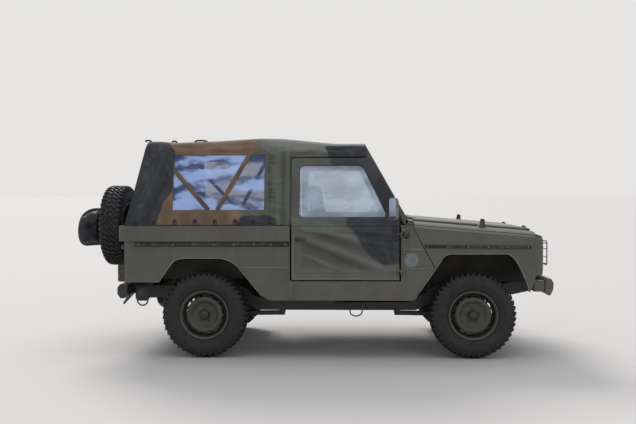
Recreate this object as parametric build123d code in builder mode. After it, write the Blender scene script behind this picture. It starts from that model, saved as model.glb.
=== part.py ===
# A short, soft-topped army field car with four driven wheels, at its real size in millimetres.
# X points forward, Y to the car's left and Z up. The origin is on the ground, in the middle of the
# car's length and width. Lengthwise sizes are measured from the rear axle, heights from the ground.
import os
from math import cos, pi, radians, sin, tan

from build123d import *

os.makedirs("parts", exist_ok=True)

# The car as a whole
wheelbase = 2400
track = 1425
front_reach = 3103
rear_reach = 1287
body_half = 850
panel_gap = 5
seat_gap = 0.3
door_gap = 8

# Wheels
tyre_radius = 384
tyre_width = 214
lug_count = 24
lug_depth = 17
lug_inset = 8
shoulder_radius = 307
shoulder_cut = 15
slot_count = 16
slot_width = 34
slot_height = 15
slot_radius = 172
rim_radius = 205
rim_width = 166
flange_height = 16
rim_wall = 8
disc_offset = 46
disc_wall = 8
disc_rise = 34
dish_radius = 135
dish_foot_radius = 102
flange_run = 11
hub_radius = 60
hub_taper = 14
hub_reach = 96
drum_radius = 132
drum_inset = 24
spindle_radius = 28
spindle_gap = 0.5

# Steering
kingpin_offset = 72.5
knuckle_radius = 42
kingpin_radius = 14
pin_gap = 0.5
arm_wall = 14
knuckle_half_height = 97
yoke_gap = 0.4
yoke_wall = 13
steering_arm = 135
tie_rod_drop = 76
tie_rod_radius = 13
tie_eye_radius = 18
column_x = 1500
column_y = 370
column_z = 1215
column_lean = 62
column_radius = 26
column_reach = 190
mirror_tube_radius = 8
grip_ring_radius = 200
grip_radius = 13

# Body heights
sill_bottom = 524
door_bottom = 702
belt_bottom = 1051
belt_top = 1187
door_top = 1790
quarter_bottom = 683
load_floor_top = 700
cab_floor_top = 580
floor_wall = 14
side_wall = 40
band_proud = 22
band_bevel = 14
strip_proud = 16
cowl_top = 1232
lean_per_height = 0.2034

# Lengthwise places
body_rear = -705
band_rear = -748
door_rear = 784
door_front = 1747
bulkhead_front = 1868
bulkhead_wall = 12
nose_gap = 23
nose_depth = 72

# Doors
door_wall = 34
door_frame_wall = 25
door_pane_wall = 3
door_hinge_x = 1757
door_hinge_proud = 20
hinge_radius = 10
hinge_pin_radius = 5
hinge_eye = 27
hinge_heights = (785, 1110)

# Windscreen
screen_lean = 29
screen_foot_x = 1848
screen_foot_z = 1190
screen_length = 817
screen_wall = 45
screen_foot_gap = 2
screen_taper = 146
screen_bar = 78
glass_wall = 6

# Hood and fenders
hood_inset = 260
hood_hinge_x = 1862
hood_hinge_z = 1241
hood_hinge_y = 400
hood_wall = 10
hood_rear = 1881
hood_nose_gap = 9
hood_rise = 25
hood_flange = 34
hood_skin = 14
hood_eye = 24
hood_pin_radius = 3.5
shelf_rear_z = 1219
shelf_slope = 4.87
fender_wall = 12
inner_fender_half = 406
inner_fender_wall = 8

# Nose
nose_corner = 48
lamp_y = 600
lamp_z = 930
lamp_radius = 98
lamp_sides = 16
grille_half = 400
grille_bottom = 800
grille_top = 1030
slat_count = 7
slat_half = 9
guard_setback = 32

# Frame
rail_outer = 400
rail_width = 70
rail_height = 118
rail_low = 372
rail_rear = 486
rail_over_axle = 505
rail_front = 496
cross_tube_radius = 30
front_tube_x = 2800
front_tube_z = 560
turret_z = 600
turret_wall = 14
spring_half = 462
spring_radius = 50
axle_radius = 45
spring_seat_wall = 14
damper_back = 90
damper_radius = 20
arm_half = 365
arm_width = 40
arm_low = 318
arm_top = 362
gear_housing_radius = 105
gear_housing_half = 62
engine_rear = 2050
engine_front = 2690
front_housing_y = 170

# Soft top
canvas_wall = 8
canvas_rear_foot = -701
canvas_rear_head = -528
canvas_front = 1450
roof_shoulder = 1895
crown_inset = 250
post_rear = 690
post_front = 770
bow_radius = 14
bow_inset = 32
bow_bend_radius = 70
window_x = (-275, 545)
window_z = (1328, 1820)
rear_window_half = 400
rear_window_z = (1380, 1800)
pane_inset = 2
bow_bend_z = 1860
bow_crown_inset = 290

# Tailgate and spare wheel
tailgate_outer = -741
tailgate_inner = -702
tailgate_inset = 128
tailgate_bottom = 690
tailgate_hinge_x = -756
tailgate_hinge_gap = 9
tailgate_hinge_heights = (800, 1000)
spare_x = -915
spare_y = -250
spare_z = 1170
bag_rear = -1287
bag_half = 210
bag_low = 988

# Towing points
beam_depth = 74
tow_half = 365
bumper_inset = 60
tow_wall = 16
tow_setback = 37
tow_z = 748
tow_bore = 16
hitch_x = -850
hitch_z = 596
hitch_gap = 70
hitch_wall = 16
hitch_bore = 16
hitch_lever_y = 300
tie_down_y = 751
ring_radius = 54
ring_wire = 7

rear_axle_x = (rear_reach - front_reach) / 2
beam_rear = front_reach - beam_depth
tow_x = front_reach - tow_setback
nose_front = beam_rear - nose_gap
nose_rear = nose_front - nose_depth
hood_front = nose_rear - hood_nose_gap
guard_front = front_reach - guard_setback
hub_z = tyre_radius
kingpin_half = track / 2 - kingpin_offset
half_tyre = tyre_width / 2
half_rim = rim_width / 2
rail_inner = rail_outer - rail_width
floor_half = body_half - side_wall
door_hinge_y = body_half + door_hinge_proud
tailgate_half = body_half - tailgate_inset
tailgate_hinge_y = tailgate_half + tailgate_hinge_gap
roof_crown_half = body_half - crown_inset
bow_crown_half = body_half - bow_crown_inset
screen_foot_half = floor_half - screen_foot_gap
screen_head_half = screen_foot_half - screen_taper
hood_half = body_half - hood_inset
bumper_half = body_half - bumper_inset
spindle_bore = spindle_radius + spindle_gap
dash_half = floor_half - 50
bead_radius = rim_radius / cos(pi / slot_count) + seat_gap
bead_half = half_rim - 13
wall_lean = (half_tyre - bead_half) / (shoulder_radius - bead_radius)
bag_corner = (bag_half**2 + (spare_z - bag_low) ** 2) ** 0.5
bag_front = spare_x - half_tyre + (shoulder_radius - bag_corner) * wall_lean - seat_gap

# Openings over the wheels, as (x, z) going forward round each arch
rear_arch = [(-402, quarter_bottom), (-262, 878), (-185, 900), (182, 900), (289, 851), (520, 566),
             (600, sill_bottom)]
front_arch = [(1871, sill_bottom), (1879, 540), (2060, 803), (2133, 915), (2171, 936), (2684, 938),
              (2728, 918), (2773, 864), (2850, 704), (2880, 604)]
# Lower edge of a frame rail, as (x, z)
rail_line = [(-698, rail_rear), (-420, rail_rear), (-240, rail_over_axle), (230, rail_over_axle),
             (430, rail_low), (1930, rail_low), (2140, rail_front), (2700, rail_front),
             (beam_rear, 566)]
# Roof line of the soft top, as (x, z) going forward
roof_line = [(canvas_rear_head, 1951), (-293, 1939), (492, 1974), (691, 1971), (1175, 1922), (1436, 1921)]


def side_plane(y):
    """A plane seen from the car's right: x from the rear axle, height above the ground."""
    return Plane(origin=(rear_axle_x, y, 0), x_dir=(1, 0, 0), z_dir=(0, -1, 0))


def cross_plane(x):
    """A plane across the car, facing forward: y to the left, height above the ground."""
    return Plane(origin=(rear_axle_x + x, 0, 0), x_dir=(0, 1, 0), z_dir=(1, 0, 0))


def level_plane(z):
    """A level plane: x from the rear axle, y to the left."""
    return Plane(origin=(rear_axle_x, 0, z), x_dir=(1, 0, 0), z_dir=(0, 0, 1))


def outline(points, mode=Mode.ADD):
    """A filled polygon in the sketch in hand."""
    with BuildLine() as border:
        Polyline(*points, close=True)
    make_face(border.edges(), mode=mode)


def side_slab(points, y0, y1, mode=Mode.ADD):
    """A slab with a side outline of (x, z) points, from y0 up to y1."""
    with BuildSketch(side_plane(y1)) as section:
        outline(points)
    extrude(section.sketch, amount=y1 - y0, mode=mode)


def cross_slab(points, x0, x1, mode=Mode.ADD):
    """A slab with a cross outline of (y, z) points, from x0 forward to x1."""
    with BuildSketch(cross_plane(x0)) as section:
        outline(points)
    extrude(section.sketch, amount=x1 - x0, mode=mode)


def block(x0, x1, y0, y1, z0, z1, mode=Mode.ADD):
    """A block between two corners."""
    side_slab([(x0, z0), (x1, z0), (x1, z1), (x0, z1)], y0, y1, mode)


def section_of(radius, sides):
    """A circle's face, or a regular polygon's where a number of sides is given."""
    with BuildSketch(Plane.XY) as section:
        if sides:
            RegularPolygon(radius, sides)
        else:
            Circle(radius)
    return section.sketch


def rod_across(x, z, y0, y1, radius, mode=Mode.ADD, sides=0):
    """A bar lying across the car, round or with a number of flat sides."""
    with BuildSketch(side_plane(y1)) as section:
        with Locations((x, z)):
            add(section_of(radius, sides))
    extrude(section.sketch, amount=y1 - y0, mode=mode)


def post(x, y, z0, z1, radius, mode=Mode.ADD, sides=0):
    """An upright bar, round or with a number of flat sides."""
    with BuildSketch(level_plane(z0)) as section:
        with Locations((x, y)):
            add(section_of(radius, sides))
    extrude(section.sketch, amount=z1 - z0, mode=mode)


def rod_along(y, z, x0, x1, radius, mode=Mode.ADD, sides=0):
    """A bar lying along the car, round or with a number of flat sides."""
    with BuildSketch(cross_plane(x0)) as section:
        with Locations((y, z)):
            add(section_of(radius, sides))
    extrude(section.sketch, amount=x1 - x0, mode=mode)


def shelf_z(x):
    """Height of the fender's top shelf at a length."""
    return shelf_rear_z - (x - hood_rear) * tan(radians(shelf_slope))


def side_y(z):
    """Half width of the body's outer side at a height: upright to the belt, then leaning in."""
    return body_half - max(0, z - belt_top) * lean_per_height


def save(piece, name):
    """Name a finished piece and write it."""
    piece.part.label = name
    export_step(piece.part, f"parts/{name}.step")


def save_pair(right, name):
    """Write a right-hand piece and its mirror image for the left."""
    save(right, f"{name}_right")
    with BuildPart() as left:
        mirror(right.part, about=Plane.XZ)
    save(left, f"{name}_left")


def ring_of_flats(profile, count, share=1.0):
    """Turn a closed (y, radius) profile into flat-sided pieces set round the Y axis."""
    half_angle = pi / count * share
    with BuildPart() as piece:
        with BuildSketch(Plane.YZ):
            outline(profile)
        extrude(amount=tyre_radius * tan(half_angle), both=True)
        for keep, sign in ((Keep.BOTTOM, -1), (Keep.TOP, 1)):
            split(bisect_by=Plane(origin=(0, 0, 0), x_dir=(0, 1, 0),
                                  z_dir=(cos(half_angle), 0, sign * sin(half_angle))), keep=keep)
    return [piece.part.rotate(Axis.Y, 360 / count * turn) for turn in range(count)]


# Tyre: a flat-sided carcass with one cross lug on each flat, cut back at the shoulders
with BuildPart() as tyre:
    add(ring_of_flats([
        (-bead_half, bead_radius),
        (-half_tyre, shoulder_radius),
        (-half_tyre + shoulder_cut, tyre_radius - lug_depth),
        (half_tyre - shoulder_cut, tyre_radius - lug_depth),
        (half_tyre, shoulder_radius),
        (bead_half, bead_radius),
    ], lug_count))
    add(ring_of_flats([
        (-half_tyre, shoulder_radius),
        (-half_tyre + lug_inset, tyre_radius),
        (half_tyre - lug_inset, tyre_radius),
        (half_tyre, shoulder_radius),
    ], lug_count, share=0.56))

# Rim: well and flanges, a dished disc with a slot on each flat, the hub cap, and the brake drum behind it
well_radius = rim_radius - rim_wall
with BuildPart() as rim:
    add(ring_of_flats([
        (-half_rim, well_radius),
        (-half_rim, rim_radius + flange_height),
        (-half_rim + flange_run, rim_radius),
        (half_rim - flange_run, rim_radius),
        (half_rim, rim_radius + flange_height),
        (half_rim, well_radius),
        (disc_offset, well_radius),
        (disc_offset + disc_rise, dish_radius),
        (disc_offset + disc_wall, dish_foot_radius),
        (disc_offset + disc_wall, hub_radius),
        (hub_reach, hub_radius - hub_taper),
        (hub_reach, 0),
        (disc_offset, 0),
        (disc_offset, spindle_bore),
        (-drum_inset, spindle_bore),
        (-drum_inset, drum_radius),
        (disc_offset - disc_wall, drum_radius),
        (disc_offset - disc_wall, well_radius),
    ], slot_count))
    with BuildSketch(Plane.XZ.offset(-disc_offset)):
        with PolarLocations(slot_radius, slot_count):
            Rectangle(slot_height, slot_width)
    extrude(amount=-disc_rise - slot_height, mode=Mode.SUBTRACT)

# Every wheel, as name, x, y, height, and the turn that faces its dish outward
wheel_table = [
    ("rear_left", 0, track / 2, hub_z, 0),
    ("rear_right", 0, -track / 2, hub_z, 180),
    ("front_left", wheelbase, track / 2, hub_z, 0),
    ("front_right", wheelbase, -track / 2, hub_z, 180),
    ("spare", spare_x, spare_y, spare_z, 90),
]
for name, x, y, z, turn in wheel_table:
    place = Location((rear_axle_x + x, y, z), (0, 0, turn))
    for kind, source in (("tyre", tyre), ("rim", rim)):
        with BuildPart() as wheel_piece:
            add(source.part.moved(place))
        save(wheel_piece, f"{kind}_{name}")

# Frame: two box rails kicked up over the axles, with spring turrets and body mounts
rail_top = [(x, z + rail_height) for x, z in reversed(rail_line)]
mount_table = [
    (-600, rail_rear + rail_height, load_floor_top - floor_wall),
    (40, rail_over_axle + rail_height, load_floor_top - floor_wall),
    (760, rail_low + rail_height, cab_floor_top - floor_wall),
    (1760, rail_low + rail_height, cab_floor_top - floor_wall),
]
with BuildPart() as frame:
    side_slab(rail_line + rail_top, rail_inner, rail_outer)
    for x in (0, wheelbase):
        block(x - damper_back - 24, x + 62, rail_outer, spring_half + 62, turret_z,
              turret_z + turret_wall)
    for x, z0, z1 in mount_table:
        block(x - 35, x + 35, rail_inner + 5, rail_outer - 5, z0, z1)
    mirror(about=Plane.XZ)
save(frame, "frame")

# Cross members: tubes between the rails
with BuildPart() as cross_members:
    for x, z in ((-650, 545), (-210, 607), (1060, 475), (front_tube_x, front_tube_z)):
        rod_across(x, z, -rail_inner, rail_inner, cross_tube_radius, sides=12)
save(cross_members, "cross_members")

# Axles: tubes with gear housings, spring seats, front yokes bored for the kingpins, rear hub spindles
spindle_end = track / 2 + disc_offset - spindle_gap
spring_foot = hub_z + axle_radius + spring_seat_wall
yoke_z = knuckle_half_height + yoke_gap
yoke_inner = kingpin_half - 78
tube_end = track / 2 - drum_inset - 2
with BuildPart() as axles:
    rod_across(0, hub_z, -tube_end, tube_end, axle_radius, sides=8)
    rod_across(0, hub_z, -spindle_end, spindle_end, spindle_radius)
    rod_across(wheelbase, hub_z, -yoke_inner - 1, yoke_inner + 1, axle_radius, sides=8)
    for x, y in ((0, 0), (wheelbase, front_housing_y)):
        for facing in (1, -1):
            middle = Plane(origin=(rear_axle_x + x, y, hub_z), x_dir=(1, 0, 0), z_dir=(0, facing, 0))
            with BuildSketch(middle):
                RegularPolygon(gear_housing_radius, 10)
            with BuildSketch(middle.offset(gear_housing_half)):
                RegularPolygon(0.6 * gear_housing_radius, 10)
            loft()
    for side in (1, -1):
        for x in (0, wheelbase):
            post(x, side * spring_half, hub_z, spring_foot, spring_radius + 6, sides=6)
        inner, outer = sorted((side * yoke_inner, side * (yoke_inner + 16)))
        block(wheelbase - 30, wheelbase + 30, inner, outer, hub_z - yoke_z - yoke_wall,
              hub_z + yoke_z + yoke_wall)
        inner, outer = sorted((side * yoke_inner, side * (kingpin_half + 22)))
        for z in (hub_z + yoke_z, hub_z - yoke_z - yoke_wall):
            block(wheelbase - 30, wheelbase + 30, inner, outer, z, z + yoke_wall)
            post(wheelbase, side * kingpin_half, z - 1, z + yoke_wall + 1, kingpin_radius + pin_gap,
                 Mode.SUBTRACT)
save(axles, "axles")

# Knuckles: a barrel on a kingpin in the yoke's ears, the hub spindle and a forward steering arm
arm_z = hub_z - tie_rod_drop
tie_x = wheelbase + steering_arm
kingpin_reach = yoke_z + yoke_wall - 1
with BuildPart() as knuckle_right:
    post(wheelbase, -kingpin_half, hub_z - knuckle_half_height, hub_z + knuckle_half_height,
         knuckle_radius, sides=8)
    post(wheelbase, -kingpin_half, hub_z - kingpin_reach, hub_z + kingpin_reach, kingpin_radius)
    rod_across(wheelbase, hub_z, -spindle_end, -kingpin_half, spindle_radius)
    with BuildSketch(level_plane(arm_z - arm_wall)):
        outline([(wheelbase, -kingpin_half - 30), (tie_x, -kingpin_half - 18), (tie_x, -kingpin_half + 18),
                 (wheelbase, -kingpin_half + 30)])
        with Locations((tie_x, -kingpin_half)):
            RegularPolygon(tie_eye_radius, 8)
    extrude(amount=arm_wall)
save_pair(knuckle_right, "knuckle")

# Tie rod: a bar over the two arms with an eye at each end
with BuildPart() as tie_rod:
    rod_across(tie_x, arm_z + yoke_gap + tie_rod_radius, -kingpin_half, kingpin_half, tie_rod_radius,
               sides=8)
    for side in (1, -1):
        post(tie_x, side * kingpin_half, arm_z + yoke_gap, arm_z + yoke_gap + 2 * tie_rod_radius,
             tie_eye_radius, sides=8)
save(tie_rod, "tie_rod")

# Suspension: coil springs as stacked six-sided turns, dampers beside them, and arms under the rails
turn_count = 3
turn_pitch = (turret_z - spring_foot) / turn_count
with BuildPart() as suspension:
    for x in (0, wheelbase):
        for turn in range(turn_count):
            for radius, z0, rise in ((spring_radius, 0, 0.5), (spring_radius - 12, 0.5, 0.5)):
                with BuildSketch(level_plane(spring_foot + (turn + z0) * turn_pitch)):
                    with Locations((x, spring_half)):
                        RegularPolygon(radius, 6)
                extrude(amount=rise * turn_pitch)
        post(x - damper_back, spring_half + 20, hub_z - 60, turret_z - seat_gap, damper_radius, sides=8)
        block(x - damper_back, x - axle_radius, spring_half + 12, spring_half + 28, hub_z - 24, hub_z - 2)
    # Each arm holds the axle tube in a cradle and reaches a bracket under the rail
    arm_inner = arm_half - arm_width / 2
    arm_outer = arm_half + arm_width / 2
    for axle_x, rail_x in ((0, 670), (wheelbase, wheelbase - 650)):
        block(min(axle_x, rail_x), max(axle_x, rail_x), arm_inner, arm_outer, arm_low, arm_top)
        block(rail_x - 30, rail_x + 30, arm_inner, arm_outer, arm_low, rail_low - seat_gap)
        rod_across(axle_x, hub_z, rail_inner, rail_outer, axle_radius + seat_gap, Mode.SUBTRACT, sides=8)
    mirror(about=Plane.XZ)
save(suspension, "suspension")

# Engine: one plain block on a bearer between the rails
with BuildPart() as engine:
    block(engine_rear, engine_front, -200, 200, 525, 1060)
    block(wheelbase - 60, wheelbase + 20, -rail_inner + seat_gap, rail_inner - seat_gap, 530, 562)
save(engine, "engine")

# Gearbox and transfer box with a propeller shaft to each axle
transfer_rear = 1250
transfer_front = 1560
with BuildPart() as transmission:
    block(transfer_front, engine_rear, -130, 130, 385, 552)
    block(transfer_rear, transfer_front, -140, front_housing_y + 60, 365, 545)
    rod_along(0, hub_z, gear_housing_radius + seat_gap, transfer_rear, 28, sides=10)
    rod_along(front_housing_y, hub_z, transfer_front, wheelbase - gear_housing_radius - seat_gap, 26,
              sides=10)
save(transmission, "transmission")
with BuildPart() as radiator:
    block(front_tube_x - 22, front_tube_x + 33, -300, 300, front_tube_z + cross_tube_radius + seat_gap, 1050)
save(radiator, "radiator")
with BuildPart() as fuel_tank:
    block(300, 960, 70, 320, 440, cab_floor_top - floor_wall - seat_gap)
    chamfer(fuel_tank.edges().filter_by(Axis.Y), 22)
save(fuel_tank, "fuel_tank")

# Exhaust: a pipe under the right side to a cross-mounted silencer on two hangers behind the rear axle
silencer_x = -455
silencer_z = 470
pipe_y = -245
with BuildPart() as exhaust:
    rod_across(silencer_x, silencer_z, -310, 230, 95, sides=14)
    rod_along(pipe_y, 540, silencer_x, 330, 24, sides=8)
    rod_along(pipe_y, 420, 330, 1980, 24, sides=8)
    post(330, pipe_y, 396, 564, 26, sides=8)
    for y in (-180, 120):
        block(silencer_x - 15, silencer_x + 15, y - 4, y + 4, silencer_z,
              load_floor_top - floor_wall - seat_gap)
save(exhaust, "exhaust")

# Floors: cab floor, heel step, load floor and the two boxes over the rear wheels
box_top = 925
box_half = floor_half - 258
box_wall = 10
box_outer = [(-470, load_floor_top), (-285, 905), (-195, box_top), (192, box_top), (305, 868),
             (430, load_floor_top)]
box_inner = [(-480, load_floor_top - 40), (-458, load_floor_top - 1), (-277, 896),
             (-191, box_top - box_wall), (188, box_top - box_wall), (298, 861), (424, load_floor_top - 1),
             (450, load_floor_top - 40)]
with BuildPart() as floor_pan:
    block(post_rear, bulkhead_front - bulkhead_wall, -floor_half, floor_half, cab_floor_top - floor_wall,
          cab_floor_top)
    block(post_rear, post_rear + 10, -floor_half, floor_half, cab_floor_top, load_floor_top)
    block(body_rear + side_wall, post_rear + 10, -floor_half, floor_half, load_floor_top - floor_wall,
          load_floor_top)
    block(tailgate_inner + door_gap, body_rear + side_wall, -tailgate_half, tailgate_half,
          load_floor_top - floor_wall, load_floor_top)
    for side in (1, -1):
        inner, outer = sorted((side * box_half, side * floor_half))
        side_slab(box_outer, inner, outer)
        inner, outer = sorted((side * (box_half + box_wall), side * floor_half))
        side_slab(box_inner, inner, outer, Mode.SUBTRACT)
save(floor_pan, "floor_pan")


def eye_shape(x, y, reach, root_y, z0, z1):
    """A hinge lug seen from above: a six-sided eye round (x, y) and a leaf of a length, back to root_y."""
    post(x, y, z0, z1, hinge_radius, sides=6)
    block(min(x, x + reach), max(x, x + reach), min(y, root_y), max(y, root_y), z0, z1)


# Body side: quarter panel with a raised belt band, door opening, sill and hinge pillar, one panel deep
seam_top = 1156
door_cut_rear = door_rear - door_gap - 2
side_shape = ([(body_rear, quarter_bottom), (body_rear, belt_top), (door_cut_rear, belt_top),
               (door_cut_rear, door_bottom - door_gap), (door_hinge_x, door_bottom - door_gap),
               (door_hinge_x, belt_top), (bulkhead_front, belt_top), (bulkhead_front, seam_top), (2058, 799),
               front_arch[1], front_arch[0]] + rear_arch[::-1])
band_half = body_half + band_proud
with BuildPart() as body_side_right:
    side_slab(side_shape, -body_half, -floor_half)
    block(body_rear, body_rear + side_wall, -floor_half, -tailgate_half - door_gap, quarter_bottom, belt_top)
    with BuildSketch(level_plane(belt_bottom)):
        outline([(band_rear, -tailgate_half - 3 * door_gap), (body_rear, -tailgate_half - 3 * door_gap),
                 (body_rear, -body_half), (door_cut_rear, -body_half), (door_cut_rear, -band_half),
                 (band_rear + band_bevel, -band_half), (band_rear, -band_half + band_bevel)])
    extrude(amount=belt_top - belt_bottom)
    block(600, bulkhead_front, -floor_half, -floor_half + 30, sill_bottom, cab_floor_top - floor_wall)
    for z in hinge_heights:
        post(door_hinge_x, -door_hinge_y, z - hinge_eye, z + hinge_eye / 2, hinge_pin_radius)
        eye_shape(door_hinge_x, -door_hinge_y, 42, -body_half, z - hinge_eye, z - hinge_eye / 2)
save_pair(body_side_right, "body_side")
# The right side also carries the pins that the tailgate swings on
with BuildPart() as hinge_side:
    add(body_side_right.part)
    for z in tailgate_hinge_heights:
        post(tailgate_hinge_x, -tailgate_hinge_y, z - hinge_eye, z + hinge_eye / 2, hinge_pin_radius)
        eye_shape(tailgate_hinge_x, -tailgate_hinge_y, body_rear - tailgate_hinge_x,
                  -tailgate_hinge_y - hinge_radius, z - hinge_eye, z - hinge_eye / 2)
save(hinge_side, "body_side_right")

# Rub strips: one along each belt's lower edge and one along each fender
with BuildPart() as rub_strips:
    block(-600, door_rear - 15, -body_half - strip_proud, -body_half, 1000, belt_bottom - panel_gap)
    side_slab([(1965, 988), (1965, 1020), (nose_rear - 40, 1006), (nose_rear - 40, 982)],
              -body_half - strip_proud, -body_half)
    mirror(about=Plane.XZ)
save(rub_strips, "rub_strips")

# Scuttle: bulkhead and cowl under the windscreen, with the two hinge pins of the hood on top
with BuildPart() as scuttle:
    side_slab([(door_hinge_x + panel_gap, 1100), (bulkhead_front - bulkhead_wall, 1100),
               (bulkhead_front - bulkhead_wall, cab_floor_top - floor_wall),
               (bulkhead_front, cab_floor_top - floor_wall), (bulkhead_front, cowl_top), (1828, cowl_top),
               (1802, belt_top + 2), (door_hinge_x + panel_gap, belt_top + 2)], -floor_half, floor_half)
    for side in (1, -1):
        middle = side * hood_hinge_y
        rod_across(hood_hinge_x, hood_hinge_z, middle - hood_eye, middle + hood_eye / 2, hood_pin_radius)
        side_slab([(hood_hinge_x - 24, cowl_top), (bulkhead_front, cowl_top), (bulkhead_front, hood_hinge_z),
                   (hood_hinge_x, hood_hinge_z + 6), (hood_hinge_x - 8, hood_hinge_z + 4)],
                  middle - hood_eye, middle - hood_eye / 2)
save(scuttle, "scuttle")

# Windscreen frame and pane, lying in one leaning plane
screen_plane = Plane(origin=(rear_axle_x + screen_foot_x, 0, screen_foot_z), x_dir=(0, 1, 0),
                     z_dir=(cos(radians(screen_lean)), 0, sin(radians(screen_lean))))


def screen_half(v, inset):
    """Half width of the windscreen frame at a distance up its plane, less an inset."""
    return screen_foot_half - (screen_foot_half - screen_head_half) * v / screen_length - inset


def screen_outline(v0, v1, inset):
    """The windscreen frame's outline between two distances up its plane, less an inset at the sides."""
    return [(-screen_half(v0, inset), v0), (screen_half(v0, inset), v0), (screen_half(v1, inset), v1),
            (-screen_half(v1, inset), v1)]


pane_outline = screen_outline(screen_bar + 10, screen_length - screen_bar, screen_bar - 20)
with BuildPart() as windscreen_frame:
    with BuildSketch(screen_plane):
        outline(screen_outline(0, screen_length, 0))
        outline(pane_outline, Mode.SUBTRACT)
    extrude(amount=-screen_wall)
    block(1700, 1900, -body_half, body_half, 1000, belt_top + 2.5, Mode.SUBTRACT)
    block(1802, bulkhead_front + 4, -body_half, body_half, belt_top - 7, cowl_top + 0.5,
          Mode.SUBTRACT)
save(windscreen_frame, "windscreen_frame")
with BuildPart() as windscreen_glass:
    with BuildSketch(screen_plane.offset(-18)):
        outline(pane_outline)
    extrude(amount=-glass_wall)
save(windscreen_glass, "windscreen_glass")

# Fender: a shelf, a rounded shoulder and a side wall drawn out along the falling shelf line
shelf_run = nose_rear - hood_rear
shelf_inner = hood_half + panel_gap + 1
shelf_top = shelf_rear_z + 1
fender_start = hood_rear - 9
shoulder = [(82, 0), (35, -13), (14, -31), (0, -49)]
with BuildPart() as fender_right:
    with BuildSketch(cross_plane(fender_start)):
        outline([(-shelf_inner, shelf_top), (-shelf_inner, shelf_top - 41),
                 (-shelf_inner - fender_wall, shelf_top - 41),
                 (-shelf_inner - fender_wall, shelf_top - fender_wall),
                 (-body_half + 88, shelf_top - fender_wall), (-body_half + 45, shelf_top - 25),
                 (-body_half + fender_wall, shelf_top - 55), (-body_half + fender_wall, 200),
                 (-body_half, 200)]
                + [(-body_half + inset, shelf_top + drop) for inset, drop in reversed(shoulder)])
    extrude(amount=2 * shelf_run, dir=(cos(radians(shelf_slope)), 0, -sin(radians(shelf_slope))))
    block(fender_start, nose_rear, -body_half - 1, 0, 100, 1300, Mode.INTERSECT)
    side_slab([(fender_start - 1, 99), (fender_start - 1, seam_top + 4), (2064, 802)] + front_arch[3:]
              + [(front_arch[-1][0], 99)], -body_half - 1, 0, Mode.SUBTRACT)
    side_slab([(nose_rear - 60, 99), (nose_rear - 60, 600), (nose_rear - 54, 604), (nose_rear - 29, 640),
               (nose_rear + 1, 753), (nose_rear + 1, 99)], -body_half - 1, 0, Mode.SUBTRACT)
save_pair(fender_right, "fender")

# Inner fenders: an upright wall beside the engine and a liner over the front wheel
wall_top_drop = 60
buffer_x = nose_rear - 84
inner_fender_outer = inner_fender_half + inner_fender_wall
with BuildPart() as inner_fenders:
    side_slab([(bulkhead_front, 640), (bulkhead_front, shelf_z(bulkhead_front) - wall_top_drop),
               (nose_rear, shelf_z(nose_rear) - wall_top_drop), (nose_rear, 640)],
              inner_fender_half, inner_fender_outer)
    side_slab([(1902, 600), (2105, 905), (2150, 952), (2692, 954), (2745, 928), (2795, 864), (2862, 720),
               (2872, 724), (2805, 870), (2752, 938), (2696, 966), (2146, 964), (2096, 912), (1892, 606)],
              inner_fender_outer, body_half - fender_wall)
    block(bulkhead_front, 2072, floor_half, body_half, 500, belt_top, Mode.SUBTRACT)
    # Buffers under the hood stand on the wall
    block(buffer_x - 30, buffer_x, inner_fender_half, inner_fender_outer,
          shelf_z(buffer_x) - wall_top_drop, shelf_z(buffer_x) + hood_rise - hood_skin - seat_gap)
    mirror(about=Plane.XZ)
save(inner_fenders, "inner_fenders")

# Front panel: a hollow nose, round-cornered, open for the grille and the two headlamps
nose_top = shelf_z(nose_rear)
with BuildPart() as front_panel:
    side_slab([(nose_rear, 752), (nose_front - 14, 752), (nose_front, 830), (nose_front, 1040),
               (nose_front - 24, nose_top - 34), (nose_rear, nose_top - 18)], -body_half, body_half)
    side_slab([(nose_rear - 1, 770), (nose_front - 30, 770), (nose_front - 16, 835), (nose_front - 16, 1030),
               (nose_front - 36, nose_top - 52), (nose_rear - 1, nose_top - 36)],
              -body_half + 20, body_half - 20, Mode.SUBTRACT)
    front_uprights = front_panel.edges().filter_by(Axis.Z).group_by(Axis.X)[-1].sort_by(Axis.Y)
    fillet([front_uprights[0], front_uprights[-1]], nose_corner)
    block(nose_rear, nose_front + 5, -grille_half, grille_half, grille_bottom, grille_top, Mode.SUBTRACT)
    for side in (1, -1):
        rod_along(side * lamp_y, lamp_z, nose_rear, nose_front + 10, lamp_radius, Mode.SUBTRACT,
                  lamp_sides)
save(front_panel, "front_panel")

# Grille: slats between two side posts, and a barred guard before each headlamp
with BuildPart() as grille:
    for side in (1, -1):
        inner, outer = sorted((side * (grille_half - 22), side * grille_half))
        block(nose_front - 34, nose_front - 2, inner, outer, grille_bottom, grille_top)
        inner, outer = sorted((side * (lamp_y - 105), side * (lamp_y + 105)))
        for z in (lamp_z - 101, lamp_z + 3.5, lamp_z + 108):
            block(guard_front - 12, guard_front, inner, outer, z - 6, z + 6)
        for y in (side * lamp_y - 99, side * lamp_y, side * lamp_y + 99):
            block(guard_front - 12, guard_front, y - 6, y + 6, lamp_z - 107, lamp_z + 114)
        for y in (side * lamp_y - 99, side * lamp_y + 99):
            for z in (lamp_z - 101, lamp_z + 108):
                block(nose_front, guard_front - 12, y - 6, y + 6, z - 6, z + 6)
    slat_pitch = (grille_top - grille_bottom) / slat_count
    for slat in range(slat_count):
        z = grille_bottom + (slat + 0.5) * slat_pitch
        block(nose_front - 30, nose_front - 8, -grille_half, grille_half, z - slat_half, z + slat_half)
save(grille, "grille")

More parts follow.
